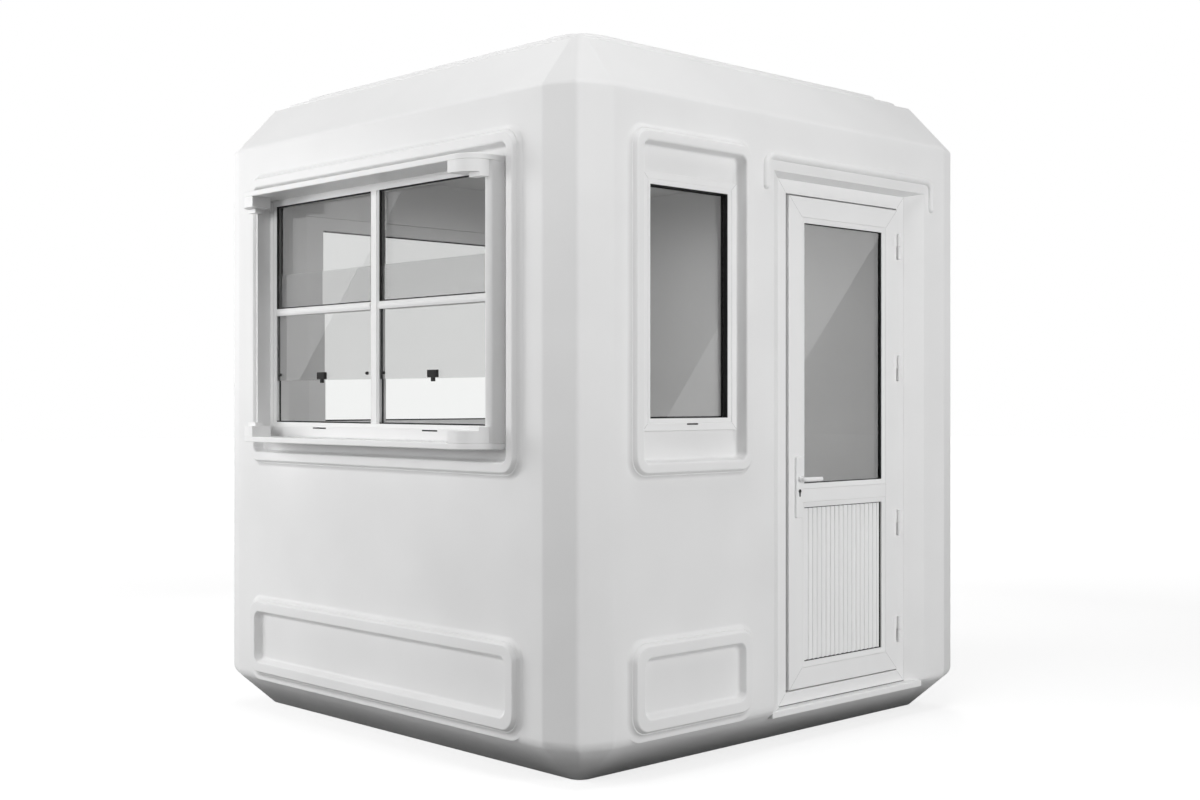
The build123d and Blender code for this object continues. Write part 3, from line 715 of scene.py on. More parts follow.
def seal_ring(wall, light, front=-0.0115, back=GLASS_FACE + 0.0005, lip=0.0028):
    """A seal on the reveal, from its front to its back, standing in over the pane by its lip."""
    return run_round(
        wall,
        [
            (light, 0, back),
            (light, 0, front),
            (pulled_in(light, lip * 0.7), 0, front - 0.0005),
            (pulled_in(light, lip), 0, front - 0.0020),
            (pulled_in(light, lip), 0, back),
        ],
    )


def weld_lines(wall, outer, light, face=FACE, outside=0.002, inside=0.0172):
    """A hair-thin grey strip across each mitre, painted shade of the groove, stopping outside and
    inside short of the two edges.
    """
    made = []
    far = rectangle_loop(pulled_in(outer, outside))
    near = rectangle_loop(grown(light, inside))
    for a, b in zip(map(Vector, far), map(Vector, near)):
        across = Vector((a.y - b.y, b.x - a.x)).normalized() * WELD_HALF
        loop = [a + across, a - across, b - across, b + across]
        offs = (face + WELD_SUNK, face + WELD_PROUD)
        made.append(skin([[on_wall(wall, p.x, p.y, off) for p in loop] for off in offs]))
    return made


def two_sided(half, low, high):
    """A section from (distance from the edge, off) points of one half, mirrored for the other."""
    return [(low + a, off) for a, off in half] + [(high - a, off) for a, off in reversed(half)]


LEFT_LIGHT = (-0.602, 0.602, 1.137, 1.950)
SIDE_LIGHT = (-0.740, -0.364, 1.167, 1.927)
seals, tapes, welds = [], [], []
for wall, outer, light, solid in (
    ("left", WIDE_HOLE, LEFT_LIGHT, "left_window_frame"),
    ("door", SIDE_HOLE, SIDE_LIGHT, "side_window_frame"),
):
    skins = [run_round(wall, frame_stations(outer, light))]
    make_piece(solid + "_extruded", skins, pvc, stands_for=[solid])
    seals.append(seal_ring(wall, light))
    behind = (GLASS_FACE - PANE, GLASS_FACE - 0.016)
    seals.append(seal_ring(wall, light, *behind, lip=0.0055))
    welds += weld_lines(wall, outer, light)

# %% [markdown]
# ## The service window
#
# Four lights behind one mullion and one transom. The two upper lights are fixed. The two lower
# ones are open: their frameless panes are lifted in a track behind the frame's face and overlap
# the upper glass, which is why the upper lights look darker in their lower parts.

# %% Service window frame
LIGHT_EDGE, MULLION, TRANSOM = 0.652, 0.026, (1.553, 1.580)
MULLION_BACK = -0.040
TRACK_FRONT, TRACK_BACK = -0.013, -0.023  # the lifting panes slide between these depths
LIGHT_V = (1.142, 1.978)
ALL_LIGHTS = (-LIGHT_EDGE, LIGHT_EDGE) + LIGHT_V
LIGHTS_U = ((-LIGHT_EDGE, -MULLION), (MULLION, LIGHT_EDGE))


def divider_section(low, high, back=FRAME_BACK):
    """Section of a mullion or transom: a flat face with a bead slope down to each light."""
    half = [
        (0, back),
        (0, FACE - 0.005),
        (0.003, FACE - 0.003),
        (0.009, FACE - 0.0006),
        (0.0095, FACE - 0.0016),
        (0.0105, FACE - 0.0016),
        (0.011, FACE),
    ]
    return two_sided(half, low, high)


def slotted_transom():
    """Front lip and back bar of the transom, with the track for the lifting panes between them."""
    lip = [(a, max(off, TRACK_FRONT)) for a, off in divider_section(*TRANSOM)]
    rear_bar = two_sided([(0, FRAME_BACK), (0, TRACK_BACK)], *TRANSOM)
    made = []
    for ends in LIGHTS_U:
        for section in (lip, rear_bar):
            made.append(bar_on_wall("front", section, *ends, upright=False))
    return made


skins = [run_round("front", frame_stations(WIDE_HOLE, ALL_LIGHTS))]
skins.append(bar_on_wall("front", divider_section(-MULLION, MULLION, MULLION_BACK), *LIGHT_V))
skins += slotted_transom()
make_piece("front_window_frame_extruded", skins, pvc, stands_for=["front_window_frame"])
welds += weld_lines("front", WIDE_HOLE, ALL_LIGHTS)
for low, high in LIGHTS_U:
    upper = (low, high, TRANSOM[1], LIGHT_V[1])
    seals.append(seal_ring("front", upper, back=-0.0185, lip=0.0045))
    tapes.append(seal_ring("front", upper, front=-0.0185, lip=0.0038))
    for edge_low, edge_high in ((low, low + 0.0030), (high - 0.0030, high)):
        strip = (edge_low, edge_high, LIGHT_V[0], TRANSOM[0])
        seals.append(block_on_wall("front", strip, -0.028, -0.0225, 0.0005))
    foot = (low, high, LIGHT_V[0], LIGHT_V[0] + 0.0045)
    seals.append(block_on_wall("front", foot, -0.034, -0.012, 0.0005))

# %% [markdown]
# The fixed lights, the far window and the side window share one set of seals, and all mitres share
# one set of weld lines, because on the real booth they are one roll of rubber and one weld. Behind
# the seal of each fixed light a grey tape beds the pane.

# %% Seals and weld lines of the windows
make_piece("window_seals", seals, epdm)
make_piece("window_glazing_tapes", tapes, glazing_tape)
# Painted shade: grey strips stand for the shade in the windows' weld grooves.
make_piece("window_weld_shade_lines", welds, weld)

# %% [markdown]
# ## Fittings of the lifting panes
#
# Each lifted pane carries a moulded latch with a pull tongue in the middle of its lower edge and a
# round buffer near each stile.

# %% Latches and buffers
def turned(profile, foot, axis, count=24):
    """A profile of (radius, height) points turned about an axis from a foot point."""
    axis = axis.normalized()
    side = axis.orthogonal().normalized()
    other = axis.cross(side)
    loops = []
    for radius, height in profile:
        loop = []
        for i in range(count):
            angle = 2 * math.pi * i / count
            arm = side * math.cos(angle) + other * math.sin(angle)
            loop.append(foot + axis * height + arm * max(radius, 0.0001))
        loops.append(loop)
    return skin(loops)


PANE_LOW, PANE_FACE = 1.302, -0.015
buffer_profile = [(0.006, 0), (0.006, 0.006), (0.0045, 0.0085), (0.002, 0.009)]
fittings = []
for low, high in LIGHTS_U:
    middle = (low + high) / 2
    latch = (middle - 0.026, middle + 0.026, PANE_LOW + 0.003, PANE_LOW + 0.029)
    fittings.append(block_on_wall("front", latch, PANE_FACE, PANE_FACE + 0.012, 0.003))
    tongue = (middle - 0.008, middle + 0.008, PANE_LOW - 0.011, PANE_LOW + 0.006)
    fittings.append(block_on_wall("front", tongue, PANE_FACE, PANE_FACE + 0.009, 0.002))
    for u in (low + 0.024, high - 0.024):
        foot = on_wall("front", u, PANE_LOW + 0.022, PANE_FACE)
        fittings.append(turned(buffer_profile, foot, WALL_SHEETS["front"][1]))
make_piece("hatch_latches_and_buffers", fittings, nylon, stands_for=["front_hatch_fittings"])

# Painted shade: thin black blocks on the frame face stand for the shade inside the drain slots.
drain_slot_shades = []
for wall, u_low, u_high, v in (
    ("front", -0.392, -0.306, 1.1215),
    ("front", 0.284, 0.369, 1.1215),
    ("door", -0.572, -0.518, 1.1475),
):
    slot_limits = (u_low, u_high, v - 0.0025, v + 0.0025)
    drain_slot_shades.append(block_on_wall(wall, slot_limits, FACE - 0.001, FACE + 0.0012, 0.0008))
make_piece("window_drain_slot_painted_shade", drain_slot_shades, nylon)

# %% [markdown]
# ## The hood
#
# Two PVC shelves with large round corners and two upright boards box the service window in. A
# stepped block fills each corner. The boards are cut from sheet, and a hand router takes the
# sharpness off every edge, about 3 mm.

# %% Hood shelves, boards and corner blocks
HOOD, REACH, BOARD, HOOD_CORNER = 0.713, 0.130, 0.020, 0.080
BLOCK, STEP, BOARD_REACH = 0.598, 0.653, 0.050


def slab(outline, low, high):
    """A sheet cut to a plan of (x, reach from the front wall) points, between two heights."""
    return upright([(x, -HALF - reach) for x, reach in outline], low, high)


front_corners = [(HOOD, REACH, HOOD_CORNER), (-HOOD, REACH, HOOD_CORNER)]
shelf = eased([(-HOOD, -FIELD), (HOOD, -FIELD)] + front_corners, 12, True)
for name, low in (("hood_bottom_shelf", WIDE_HOLE[2] - BOARD), ("hood_top_shelf", WIDE_HOLE[3])):
    skins = [slab(shelf, low, low + BOARD)]
    make_piece(name + "_routed", skins, pvc, stands_for=[name], ease=0.003)

boards = []
for side in (-1, 1):
    outline = [(HOOD - BOARD, -FIELD), (HOOD, -FIELD)]
    outline += [(HOOD, BOARD_REACH, 0.019), (HOOD - BOARD, BOARD_REACH)]
    if side < 0:
        outline = [(-point[0], *point[1:]) for point in reversed(outline)]
    boards.append(slab(eased(outline, 8, True), WIDE_HOLE[2], WIDE_HOLE[3]))
make_piece("hood_side_boards_routed", boards, pvc, stands_for=["hood_side_boards"], ease=0.001)

blocks = []
block_plan = [(BLOCK, BOARD_REACH), (HOOD, BOARD_REACH)]
block_plan += [(HOOD, REACH, HOOD_CORNER - 0.0001), (BLOCK, REACH)]
block_plan = eased(block_plan, 10, True)
step_plan = [Vector((STEP, BOARD_REACH)), Vector((HOOD, BOARD_REACH))]
for angle in (5, 10, 15, 20, 25.15):
    turn = math.radians(angle)
    x, reach = HOOD - HOOD_CORNER * (1 - math.cos(turn)), BOARD_REACH + HOOD_CORNER * math.sin(turn)
    step_plan.append(Vector((x, reach)))
step_plan.append(Vector((STEP, 0.084)))
for side in (-1, 1):
    for plan, start, drop in ((block_plan, 0, 0.040), (step_plan, 0.040, 0.014)):
        outline = [(side * p.x, p.y) for p in plan]
        low, high = WIDE_HOLE[2] + start, WIDE_HOLE[3] - start
        blocks.append(slab(outline, low, low + drop))
        blocks.append(slab(outline, high - drop, high))
gussets = ["hood_corner_gussets"]
make_piece("hood_corner_blocks_routed", blocks, pvc, stands_for=gussets, ease=0.0015)

# %% [markdown]
# ## Drip bead over the door
#
# A half-round bead is bonded to the wall above the doorway and turned down at both ends, so that
# rain running down the wall goes round the door. Its ends are rounded like a fingertip.

# %% Half-round bead
BEAD, BEAD_U, BEAD_V, BEAD_DROP = 0.014, (-0.175, 0.822), 2.082, 0.120


def bead_on_wall(wall, path, radius):
    """A half-round run along a path on the wall, with domed ends."""
    domes = (85, 65, 45, 25)
    stops = [(path[0], path[1] - path[0], -dome) for dome in domes]
    for i, point in enumerate(path):
        stops.append((point, path[min(i + 1, len(path) - 1)] - path[max(i - 1, 0)], 0))
    stops += [(path[-1], path[-1] - path[-2], dome) for dome in reversed(domes)]
    loops = []
    for point, ahead, dome in stops:
        ahead = ahead.normalized()
        centre = point + ahead * radius * math.sin(math.radians(dome))
        size = radius * math.cos(math.radians(dome))
        across = Vector((-ahead.y, ahead.x))
        loop = []
        for step in range(13):
            angle = math.pi * step / 12
            spot_2d = centre + across * size * math.cos(angle)
            loop.append(on_wall(wall, spot_2d.x, spot_2d.y, size * math.sin(angle)))
        loops.append(loop)
    return skin(loops)


low, high = BEAD_V - BEAD_DROP + BEAD, BEAD_V
bead_path = [(BEAD_U[0], low), (BEAD_U[0], high, 0.036), (BEAD_U[1], high, 0.036), (BEAD_U[1], low)]
skins = [bead_on_wall("door", eased(bead_path, 10), BEAD)]
make_piece("door_drip_bead_moulded", skins, gelcoat, stands_for=["door_drip_bead"])

# %% [markdown]
# ## Door frame
#
# The door is the same PVC system as the windows, only heavier. Its frame sits at the back of the
# splayed recess, with a small rebate beside the leaf.

# %% Door frame
FRAME_FACE, LEAF_FACE = -RECESS, -0.036
DOOR_OPENING = (-0.013, 0.6555, 0.181, 1.967)


def door_frame_stations():
    """Stations of the door frame: eased outside, with a small rebate beside the leaf."""
    return [
        (DOOR_FRAME, 0, FRAME_FACE - 0.060),
        (DOOR_FRAME, 0, FRAME_FACE - 0.002),
        (pulled_in(DOOR_FRAME, 0.002), 0, FRAME_FACE),
        (grown(DOOR_OPENING, 0.0030), 0, FRAME_FACE),
        (grown(DOOR_OPENING, 0.0008), 0, FRAME_FACE - 0.0008),
        (DOOR_OPENING, 0, FRAME_FACE - 0.0030),
        (DOOR_OPENING, 0, FRAME_FACE - 0.060),
    ]


frame_bars = ["door_frame_" + part for part in ("lock_jamb", "hinge_jamb", "head", "threshold")]
skins = [run_round("door", door_frame_stations())]
make_piece("door_frame_extruded", skins, pvc, stands_for=frame_bars)
# Painted shade: grey strips stand for the shade in the door frame's weld grooves.
frame_welds = weld_lines("door", DOOR_FRAME, DOOR_OPENING, FRAME_FACE, 0.003, 0.004)
make_piece("door_frame_weld_shade_lines", frame_welds, weld)

# %% [markdown]
# ## Painted shadow gap and sealant coves at the foot of the door frame
#
# A thin grey strip along the foot of the frame is painted shade: it stands for the shadow gap
# between frame and sill. The fitter smooths a white cove on each side of the sill, so rain on the
# sill runs outwards.

# %% Painted shadow gap and sealant coves round the foot of the frame
# Painted shade: a grey strip stands for the shadow gap between frame and sill.
foot_line = DOOR_FRAME[:2] + (FLOOR_LEVEL + 0.0004, FLOOR_LEVEL + 0.0034)
foot_shadow_strip = block_on_wall("door", foot_line, -RECESS - 0.001, -RECESS + 0.0012, 0.0008)
make_piece("door_foot_painted_shadow_gap", [foot_shadow_strip], glazing_tape)
COVE_RUN = 0.75  # share of the splay that each cove follows
cove_profile = [(0, 0.0005), (0, 0.0085), (0.0022, 0.0042), (0.0042, 0.0022), (0.0085, 0.0005)]
coves = []
for inner, outer, inward in ((DOOR_FRAME[0], DOORWAY[0], 1), (DOOR_FRAME[1], DOORWAY[1], -1)):
    loops = []
    for y, off in (
        (inner, -RECESS + 0.002),
        (inner + (outer - inner) * COVE_RUN, -RECESS * (1 - COVE_RUN)),
    ):
        y -= inward * 0.0012
        corner = [(y + inward * across, FLOOR_LEVEL + up) for across, up in cove_profile]
        loops.append([on_wall("door", u, v, off) for u, v in corner])
    coves.append(skin(loops))
make_piece("door_sill_coves", coves, gelcoat)

# %% [markdown]
# ## Door leaf
#
# The leaf stands a little proud of its frame. It is four mitred members with a rail across the
# middle, a snap-in bead round each field, and a black seal between bead and pane.

# %% Leaf, beads and seals
LEAF = (-0.005, 0.6495, 0.187, 1.961)
SASH, MID_RAIL = 0.093, (0.838, 0.925)
SASH_OPENING = pulled_in(LEAF, SASH)
GLASS_FIELD = SASH_OPENING[:2] + (MID_RAIL[1], SASH_OPENING[3])
RIBBED_FIELD = SASH_OPENING[:2] + (SASH_OPENING[2], MID_RAIL[0])
BEAD_WIDTH, BEAD_TOE = 0.020, 0.0055


def sash_stations():
    """Stations of the leaf's outer frame, up to the line where the beads begin."""
    return [
        (LEAF, 0, LEAF_FACE - 0.050),
        (LEAF, 0, LEAF_FACE - 0.003),
        (pulled_in(LEAF, 0.001), 0, LEAF_FACE - 0.001),
        (pulled_in(LEAF, 0.003), 0, LEAF_FACE),
        (grown(SASH_OPENING, BEAD_WIDTH), 0, LEAF_FACE),
        (grown(SASH_OPENING, BEAD_WIDTH), 0, LEAF_FACE - 0.004),
        (SASH_OPENING, 0, LEAF_FACE - 0.0075),
        (SASH_OPENING, 0, LEAF_FACE - 0.050),
    ]


half_rail = [
    (0, LEAF_FACE - 0.0498),
    (0, LEAF_FACE - 0.0075),
    (BEAD_WIDTH, LEAF_FACE - 0.004),
    (BEAD_WIDTH, LEAF_FACE),
]
skins = [run_round("door", sash_stations())]
ends = (SASH_OPENING[0] - BEAD_WIDTH, SASH_OPENING[1] + BEAD_WIDTH)
skins.append(bar_on_wall("door", two_sided(half_rail, *MID_RAIL), *ends, upright=False))


def glazing_bead(field):
    """The snap-in bead round a field of the door: a hair line, a crown and a slope to the seal."""
    outer = grown(field, BEAD_WIDTH - 0.0006)
    return run_round(
        "door",
        [
            (outer, 0, LEAF_FACE - 0.004),
            (outer, 0, LEAF_FACE - 0.0006),
            (pulled_in(outer, 0.0008), 0, LEAF_FACE),
            (pulled_in(outer, 0.0060), 0, LEAF_FACE - 0.0002),
            (grown(field, 0.0020), 0, LEAF_FACE - BEAD_TOE + 0.0012),
            (field, 0, LEAF_FACE - BEAD_TOE),
            (field, 0, LEAF_FACE - 0.0078),
        ],
    )


skins += [glazing_bead(GLASS_FIELD), glazing_bead(RIBBED_FIELD)]
make_piece("door_leaf_frame_extruded", skins, pvc, body="door", stands_for=["door_leaf_frame"])
leaf_seals = []
for field, front, back in ((GLASS_FIELD, -0.0438, -0.0475), (RIBBED_FIELD, -0.0465, -0.0515)):
    leaf_seals.append(seal_ring("door", field, front, back, lip=0.0034))
make_piece("door_leaf_seals", leaf_seals, epdm, body="door")
# Painted shade: grey strips stand for the shade in the leaf's weld grooves.
leaf_welds = weld_lines("door", LEAF, SASH_OPENING, LEAF_FACE, inside=BEAD_WIDTH)
for u in ends:
    seam = (u - WELD_HALF, u + WELD_HALF, MID_RAIL[0] + BEAD_WIDTH, MID_RAIL[1] - BEAD_WIDTH)
    leaf_welds.append(block_on_wall("door", seam, LEAF_FACE + WELD_SUNK, LEAF_FACE + WELD_PROUD))
make_piece("door_leaf_weld_shade_lines", leaf_welds, weld, body="door")

# %% [markdown]
# ## Ribbed panel
#
# The lower field is a hollow PVC cladding board. Its ribs come out of the die with rounded crowns
# and rounded roots, 26 mm apart.

# %% Ribbed board
RIB_PITCH, RIB_HALF, RIB_RISE, RIB_ROUND = 0.026, 0.007, 0.004, 0.0015
panel_face, panel_back = LEAF_FACE - 0.012, LEAF_FACE - 0.012 - RIB_RISE - 0.024
rib_count = int((RIBBED_FIELD[1] - RIBBED_FIELD[0]) / RIB_PITCH)
first = (RIBBED_FIELD[0] + RIBBED_FIELD[1]) / 2 - RIB_PITCH * (rib_count - 1) / 2
ribs = [(RIBBED_FIELD[0], panel_back), (RIBBED_FIELD[0], panel_face - RIB_RISE)]
for number in range(rib_count):
    centre = first + number * RIB_PITCH
    for across, drop in (
        (-RIB_HALF, RIB_RISE),
        (0.001 - RIB_HALF, 0),
        (RIB_HALF - 0.001, 0),
        (RIB_HALF, RIB_RISE),
    ):
        ribs.append((centre + across, panel_face - drop, RIB_ROUND))
ribs += [(RIBBED_FIELD[1], panel_face - RIB_RISE), (RIBBED_FIELD[1], panel_back)]
board = bar_on_wall("door", eased(ribs, 3), *RIBBED_FIELD[2:])
make_piece(
    "door_ribbed_board_extruded", [board], pvc, body="door", stands_for=["door_ribbed_panel"]
)

# %% [markdown]
# ## Hinges
#
# Each hinge is a pair of barrels on one pin: the frame carries the lower one, the leaf the upper
# one. Both have chamfered rims, a pin cap, and a flap that is screwed to its bar.

# %% Hinge barrels and flaps
HINGE_X, HINGE_Y, BARREL = HALF - 0.028, 0.6525, 0.007
HINGE_LEVELS, HINGE_LENGTH = (0.341, 0.753, 1.350, 1.820), 0.100
KNUCKLE, CHAMFER = 0.0495, 0.0012
FRAME_FLAP, LEAF_FLAP, SCREW_Y = 0.693, 0.6235, 0.680
UP = Vector((0, 0, 1))
OUT = WALL_SHEETS["door"][1]


def barrel(bottom, top):
    """One knuckle with chamfered rims."""
    tall = top - bottom
    rim = BARREL - CHAMFER
    profile = [(rim, 0), (BARREL, CHAMFER), (BARREL, tall - CHAMFER), (rim, tall)]
    return turned(profile, Vector((HINGE_X, HINGE_Y, bottom)), UP)


fixed, moving = [], []
for level in HINGE_LEVELS:
    low, high = level - HINGE_LENGTH / 2, level + HINGE_LENGTH / 2
    fixed.append(barrel(low, low + KNUCKLE))
    moving.append(barrel(high - KNUCKLE, high))
    flap = (HINGE_Y + 0.003, FRAME_FLAP, low, high)
    fixed.append(block_on_wall("door", flap, -RECESS, -RECESS + 0.003, 0.0006))
    web = (HINGE_Y + 0.003, HINGE_Y + 0.007, low, low + KNUCKLE)
    fixed.append(block_on_wall("door", web, -RECESS, -0.028))
    flap = (LEAF_FLAP, LEAF[1], high - KNUCKLE, high)
    moving.append(block_on_wall("door", flap, LEAF_FACE, LEAF_FACE + 0.0012, 0.0006))
    for v in (low + 0.018, high - 0.018):
        head = [(0.0042, 0), (0.0042, 0.0006), (0.003, 0.0014), (0.0012, 0.0016)]
        fixed.append(turned(head, on_wall("door", SCREW_Y, v, -RECESS + 0.003), OUT, 16))
make_piece("hinges_on_frame", fixed, powder_coat, stands_for=["door_hinges_fixed"])
make_piece("hinges_on_leaf", moving, powder_coat, body="door", stands_for=["door_hinges_moving"])

# %% [markdown]
# ## Lever handle
#
# A long plate covers the lock case, with the lever's collar above and a profile cylinder below it.
# The lever is a bent bar: straight out of the plate, round a tight bend, and along to a rounded
# end.

# %% Plate, keyhole and lever
HANDLE_Y, HANDLE_Z, PLATE_V, PLATE_HALF = 0.045, 0.942, (0.803, 1.024), 0.019
KEY_Z, LEVER_REACH, LEVER_LENGTH = 0.899, 0.026, 0.095
PLATE_FRONT = LEAF_FACE + 0.009
plate_limits = (HANDLE_Y - PLATE_HALF, HANDLE_Y + PLATE_HALF) + PLATE_V
loops = []
for inset, off, radius in (
    (0, LEAF_FACE, 0.006),
    (0, PLATE_FRONT - 0.003, 0.006),
    (0.0008, PLATE_FRONT - 0.001, 0.0055),
    (0.0026, PLATE_FRONT, 0.005),
):
    outline = rectangle_loop(pulled_in(plate_limits, inset), radius, 6)
    loops.append([on_wall("door", u, v, off) for u, v in outline])
skins = [skin(loops)]
for v in (PLATE_V[0] + 0.012, PLATE_V[1] - 0.012):
    head = [(0.0036, 0), (0.0036, 0.0004), (0.0026, 0.0009), (0.001, 0.001)]
    skins.append(turned(head, on_wall("door", HANDLE_Y, v, PLATE_FRONT - 0.0002), OUT, 16))
make_piece("handle_plate_cast", skins, powder_coat, body="door", stands_for=["door_handle_plate"])

half_slot = [(0.0045, 0.0, 0.004), (0.003, -0.020, 0.0025)]
keyhole = [(-x, y, radius) for x, y, radius in half_slot] + half_slot[::-1]
keyhole = eased(keyhole, 5, True)
turns = [math.radians(15 * i) for i in range(24)]
round_part = [Vector((math.cos(turn), math.sin(turn))) * 0.0072 for turn in turns]
key_skins = []
for outline, depth in ((keyhole, 0.0008), (round_part, 0.0009)):
    loops = []
    for off in (PLATE_FRONT - 0.001, PLATE_FRONT + depth):
        loops.append([on_wall("door", HANDLE_Y + p.x, KEY_Z + p.y, off) for p in outline])
    key_skins.append(skin(loops))
make_piece("lock_cylinder_face", key_skins, nylon, body="door")


def bent_bar(path, sizes):
    """An oval bar along a level path of (x, y) points. sizes are (half depth, half height)."""
    loops = []
    for i, point in enumerate(path):
        ahead = (path[min(i + 1, len(path) - 1)] - path[max(i - 1, 0)]).normalized()
        side = Vector((-ahead.y, ahead.x))
        deep, tall = sizes(i / (len(path) - 1))
        loop = []
        for step in range(20):
            angle = 2 * math.pi * step / 20
            spot_2d = point + side * deep * math.cos(angle)
            loop.append(Vector((spot_2d.x, spot_2d.y, HANDLE_Z + tall * math.sin(angle))))
        loops.append(loop)
    return skin(loops)


def lever_size(share):
    """Half depth and half height of the bar along its length, rounded off at the very end."""
    tip = min(1.0, math.sqrt(max(0.02, (1 - share) / 0.05)))
    return 0.0058 * tip, 0.0078 * tip


start_x = HALF + PLATE_FRONT + 0.0005
elbow_x = start_x + LEVER_REACH
tip_y = HANDLE_Y + LEVER_LENGTH
corner_run = eased([(start_x, HANDLE_Y), (elbow_x, HANDLE_Y, 0.012), (elbow_x, tip_y)], 8)
lever_path = corner_run[:-1]
last, end = corner_run[-2:]
for share in (0.2, 0.4, 0.6, 0.8, 0.9, 0.95, 0.98, 1.0):
    lever_path.append(last.lerp(end, share))
collar = [(0.0100, 0), (0.0100, 0.006), (0.0086, 0.009), (0.0070, 0.010)]
collar_foot = on_wall("door", HANDLE_Y, HANDLE_Z, PLATE_FRONT + 0.0005)
skins = [bent_bar(lever_path, lever_size), turned(collar, collar_foot, OUT)]
make_piece("lever_cast", skins, powder_coat, body="handle", stands_for=["door_lever"])

# %% [markdown]
# ## Light, floor and background
#
# A white booth on white needs shape from light alone. Large softboxes face the service window from
# the left and the front, others face the door and the corner, and a weak one stands behind. Their
# powers were fitted to the tones of the photo's walls. A small one lights the cabin from its
# ceiling. Camera, mirror and glass rays see a plain white surrounding, which lights nothing.

# %% Sky
def seen_by(finish, rays):
    """1 for the named kinds of ray, and 0 for all others."""
    path = add_node(finish, "ShaderNodeLightPath")
    seen = path.outputs[rays[0]]
    for ray in rays[1:]:
        either = add_node(
            finish, "ShaderNodeMath", {"operation": "MAXIMUM"}, {0: seen, 1: path.outputs[ray]}
        )
        seen = either.outputs[0]
    return seen


sky = bpy.data.worlds.new("studio")
bpy.context.scene.world = sky
sky.use_nodes = True
sky.node_tree.nodes.clear()
seen = seen_by(sky, ("Is Camera Ray", "Is Glossy Ray", "Is Transmission Ray"))
dark = add_node(sky, "ShaderNodeBackground", {"Color": linear("#FFFFFF"), "Strength": 0.0})
white = add_node(sky, "ShaderNodeBackground", {"Color": linear("#FFFFFF"), "Strength": 1.0})
both = add_node(
    sky, "ShaderNodeMixShader", wires={0: seen, 1: dark.outputs[0], 2: white.outputs[0]}
)
add_node(sky, "ShaderNodeOutputWorld", wires={"Surface": both.outputs[0]})
print("sky nodes", len(sky.node_tree.nodes))

# %% [markdown]
# The softboxes only light. Panes and mirrors would show them as bright squares, so neither they nor
# the camera see a lamp.

# %% Softboxes
BOOTH_MIDDLE = (0, 0, 1.2)


def hide_from(thing, *sights):
    """Makes a thing unseen by these kinds of ray."""
    for sight in sights:
        setattr(thing, "visible_" + sight, False)


def softbox(name, place, size, watts, aim=BOOTH_MIDDLE):
    """A square area lamp that only lights. Camera, panes and mirrors don't see it."""
    lamp = bpy.data.lights.new(name, "AREA")
    lamp.shape = "SQUARE"
    lamp.size = size
    lamp.energy = watts
    rig = placed(name, lamp)
    rig.location = place
    rig.rotation_euler = (Vector(aim) - Vector(place)).to_track_quat("-Z", "Y").to_euler()
    hide_from(rig, "camera", "transmission", "glossy")


softbox("cabin_ceiling", (0, 0, 2.12), 0.8, 8.6, aim=(0.001, 0, 0))
softbox("low_before_door", (4.2, 1.2, 0.35), 0.6, 6, aim=(1.0, 0.2, 0))
softbox("far_left_of_service_window", (-4.93, -4.14, 2.10), 2.5, 225)
softbox("near_corner", (3.26, -1.88, 2.57), 1.2, 8)
softbox("facing_door", (6.44, 0.68, 1.77), 2.5, 187)
softbox("high_over_corner", (1.86, -1.67, 5.53), 2.0, 75)
softbox("facing_service_window", (0.00, -6.36, 2.55), 2.5, 128)
softbox("behind_booth", (-3.00, 4.60, 4.60), 2.5, 150)
print("softboxes", len(bpy.data.lights))

# %% [markdown]
# Panes and polished walls mirror the studio. One black cloth flag for the service window and two
# for the door side, each with a slanting edge, leave soft diagonal streaks of light in the panes.
# Only mirror rays see them.

# %% Flags
cloth = grained("black_flag_cloth", "#060606", "#0E0E0E", 0.9, 1.45, 0.004, 0.1)
FAR_Y, FAR_X = -4.311, 4.558  # the upright planes that the flags hang in


def flag(name, corners):
    """A cloth that only mirror rays meet."""
    mesh = bpy.data.meshes.new(name)
    mesh.from_pydata(corners, [], [tuple(range(len(corners)))])
    mesh.materials.append(cloth)
    hung = placed(name, mesh)
    hide_from(hung, "camera", "diffuse", "transmission", "shadow", "volume_scatter")
    hung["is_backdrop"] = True


service_side = [(-6.49, 0.4), (-2.3, 0.4), (-2.3, 3.6), (-3.44, 3.6)]
flag("flag_service_window", [(x, FAR_Y, z) for x, z in service_side])
for name, side in (
    ("flag_near_side", [(1.0, 0.4), (2.43, 0.4), (4.76, 3.2), (1.0, 3.2)]),
    ("flag_far_side", [(3.47, 0.4), (8.5, 0.4), (8.5, 3.2), (6.09, 3.2)]),
):
    flag(name, [(FAR_X, y, z) for y, z in side])
print("flag cloth", cloth.name)

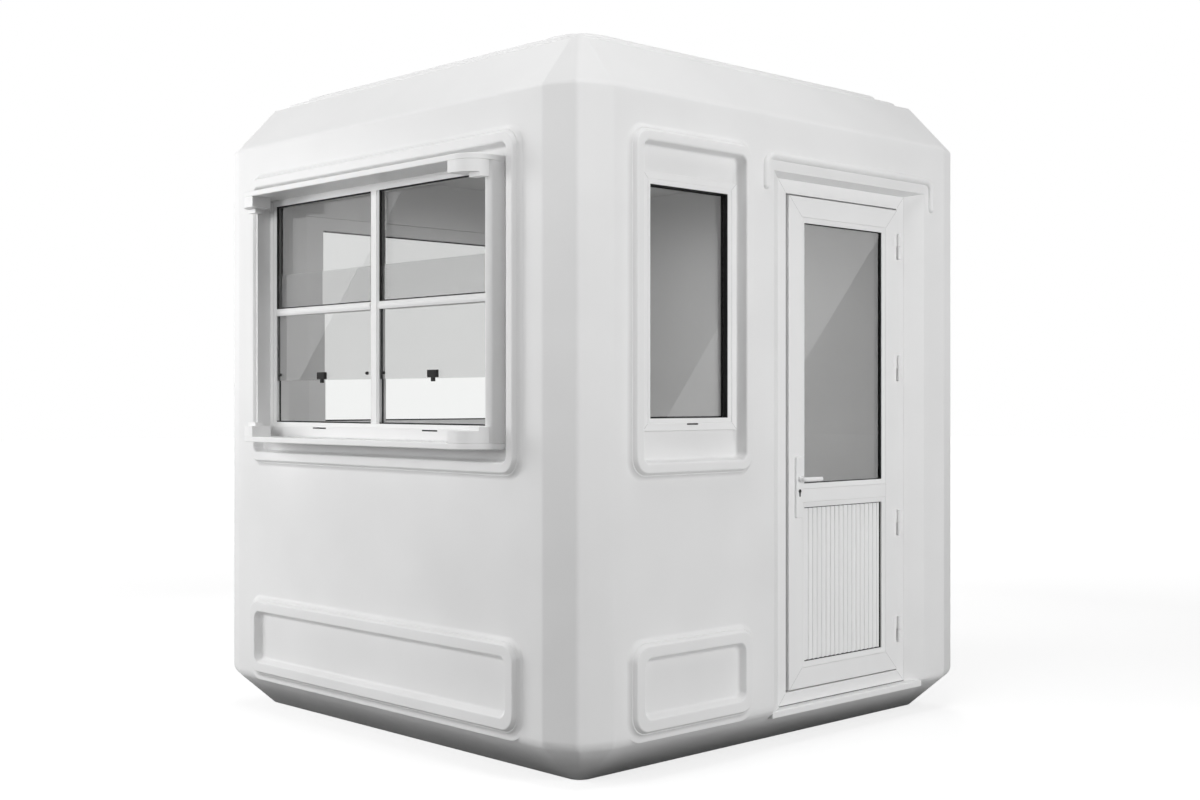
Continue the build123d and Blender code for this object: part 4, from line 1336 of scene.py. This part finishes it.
# %% [markdown]
# The floor is pale board. Near the booth it takes the lamps' light and the booth's shadow; away
# from it, camera and glass rays see it glow up to white, so that it has no horizon.

# %% Floor
FLOOR_EDGE, BELOW = 40, -0.0005
NEAR, FAR, NEAR_GLOW = 4.5, 9.0, 0.74
glow = {"Roughness": 0.9, "Emission Color": linear("#FFFFFF")}
studio_floor, shader, spot = new_finish("pale_studio_floor", glow)
mottle(studio_floor, shader, noise(studio_floor, spot, 1.5), "#9C9C9C", "#A6A6A6")
away = add_node(studio_floor, "ShaderNodeVectorMath", {"operation": "LENGTH"}, {0: spot})
fade = add_node(
    studio_floor,
    "ShaderNodeMapRange",
    {"From Min": NEAR, "From Max": FAR, "To Min": NEAR_GLOW, "To Max": 1.0},
    {"Value": away.outputs["Value"]},
)
seen = seen_by(studio_floor, ("Is Camera Ray", "Is Transmission Ray"))
lift = add_node(
    studio_floor, "ShaderNodeMath", {"operation": "MULTIPLY"}, {0: seen, 1: fade.outputs[0]}
)
wire(studio_floor, lift.outputs[0], shader.inputs["Emission Strength"])
floor_mesh = bpy.data.meshes.new("studio_floor")
corners = rectangle_loop((-FLOOR_EDGE, FLOOR_EDGE, -FLOOR_EDGE, FLOOR_EDGE))
floor_mesh.from_pydata([(x, y, 0) for x, y in corners], [], [(0, 1, 2, 3)])
floor_mesh.materials.append(studio_floor)
studio = placed("studio_floor", floor_mesh)
studio.location.z = BELOW
studio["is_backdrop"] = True
print("floor", len(floor_mesh.polygons))

# %% [markdown]
# ## Camera
#
# The camera stands off the corner between the service window and the door, level, a little above
# the middle of the booth. It was fitted to the vertical edges and the two vanishing points.

# %% Camera and view
eye = bpy.data.cameras.new("eye")
eye.sensor_width = 36
eye.lens = 46.31
camera = placed("eye", eye)
camera.location = (4.558, -4.311, 1.227)
camera.rotation_euler = (math.pi / 2, 0, math.radians(46.2433))
bpy.context.scene.camera = camera
bpy.context.scene.view_settings.view_transform = "Standard"

# %% [markdown]
# Last, the dressed booth is measured. It has to stay inside the box of the imported model.

# %% Measure the dressed booth
low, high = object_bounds()
print("dressed", [round(v, 4) for v in (*low, *high)])
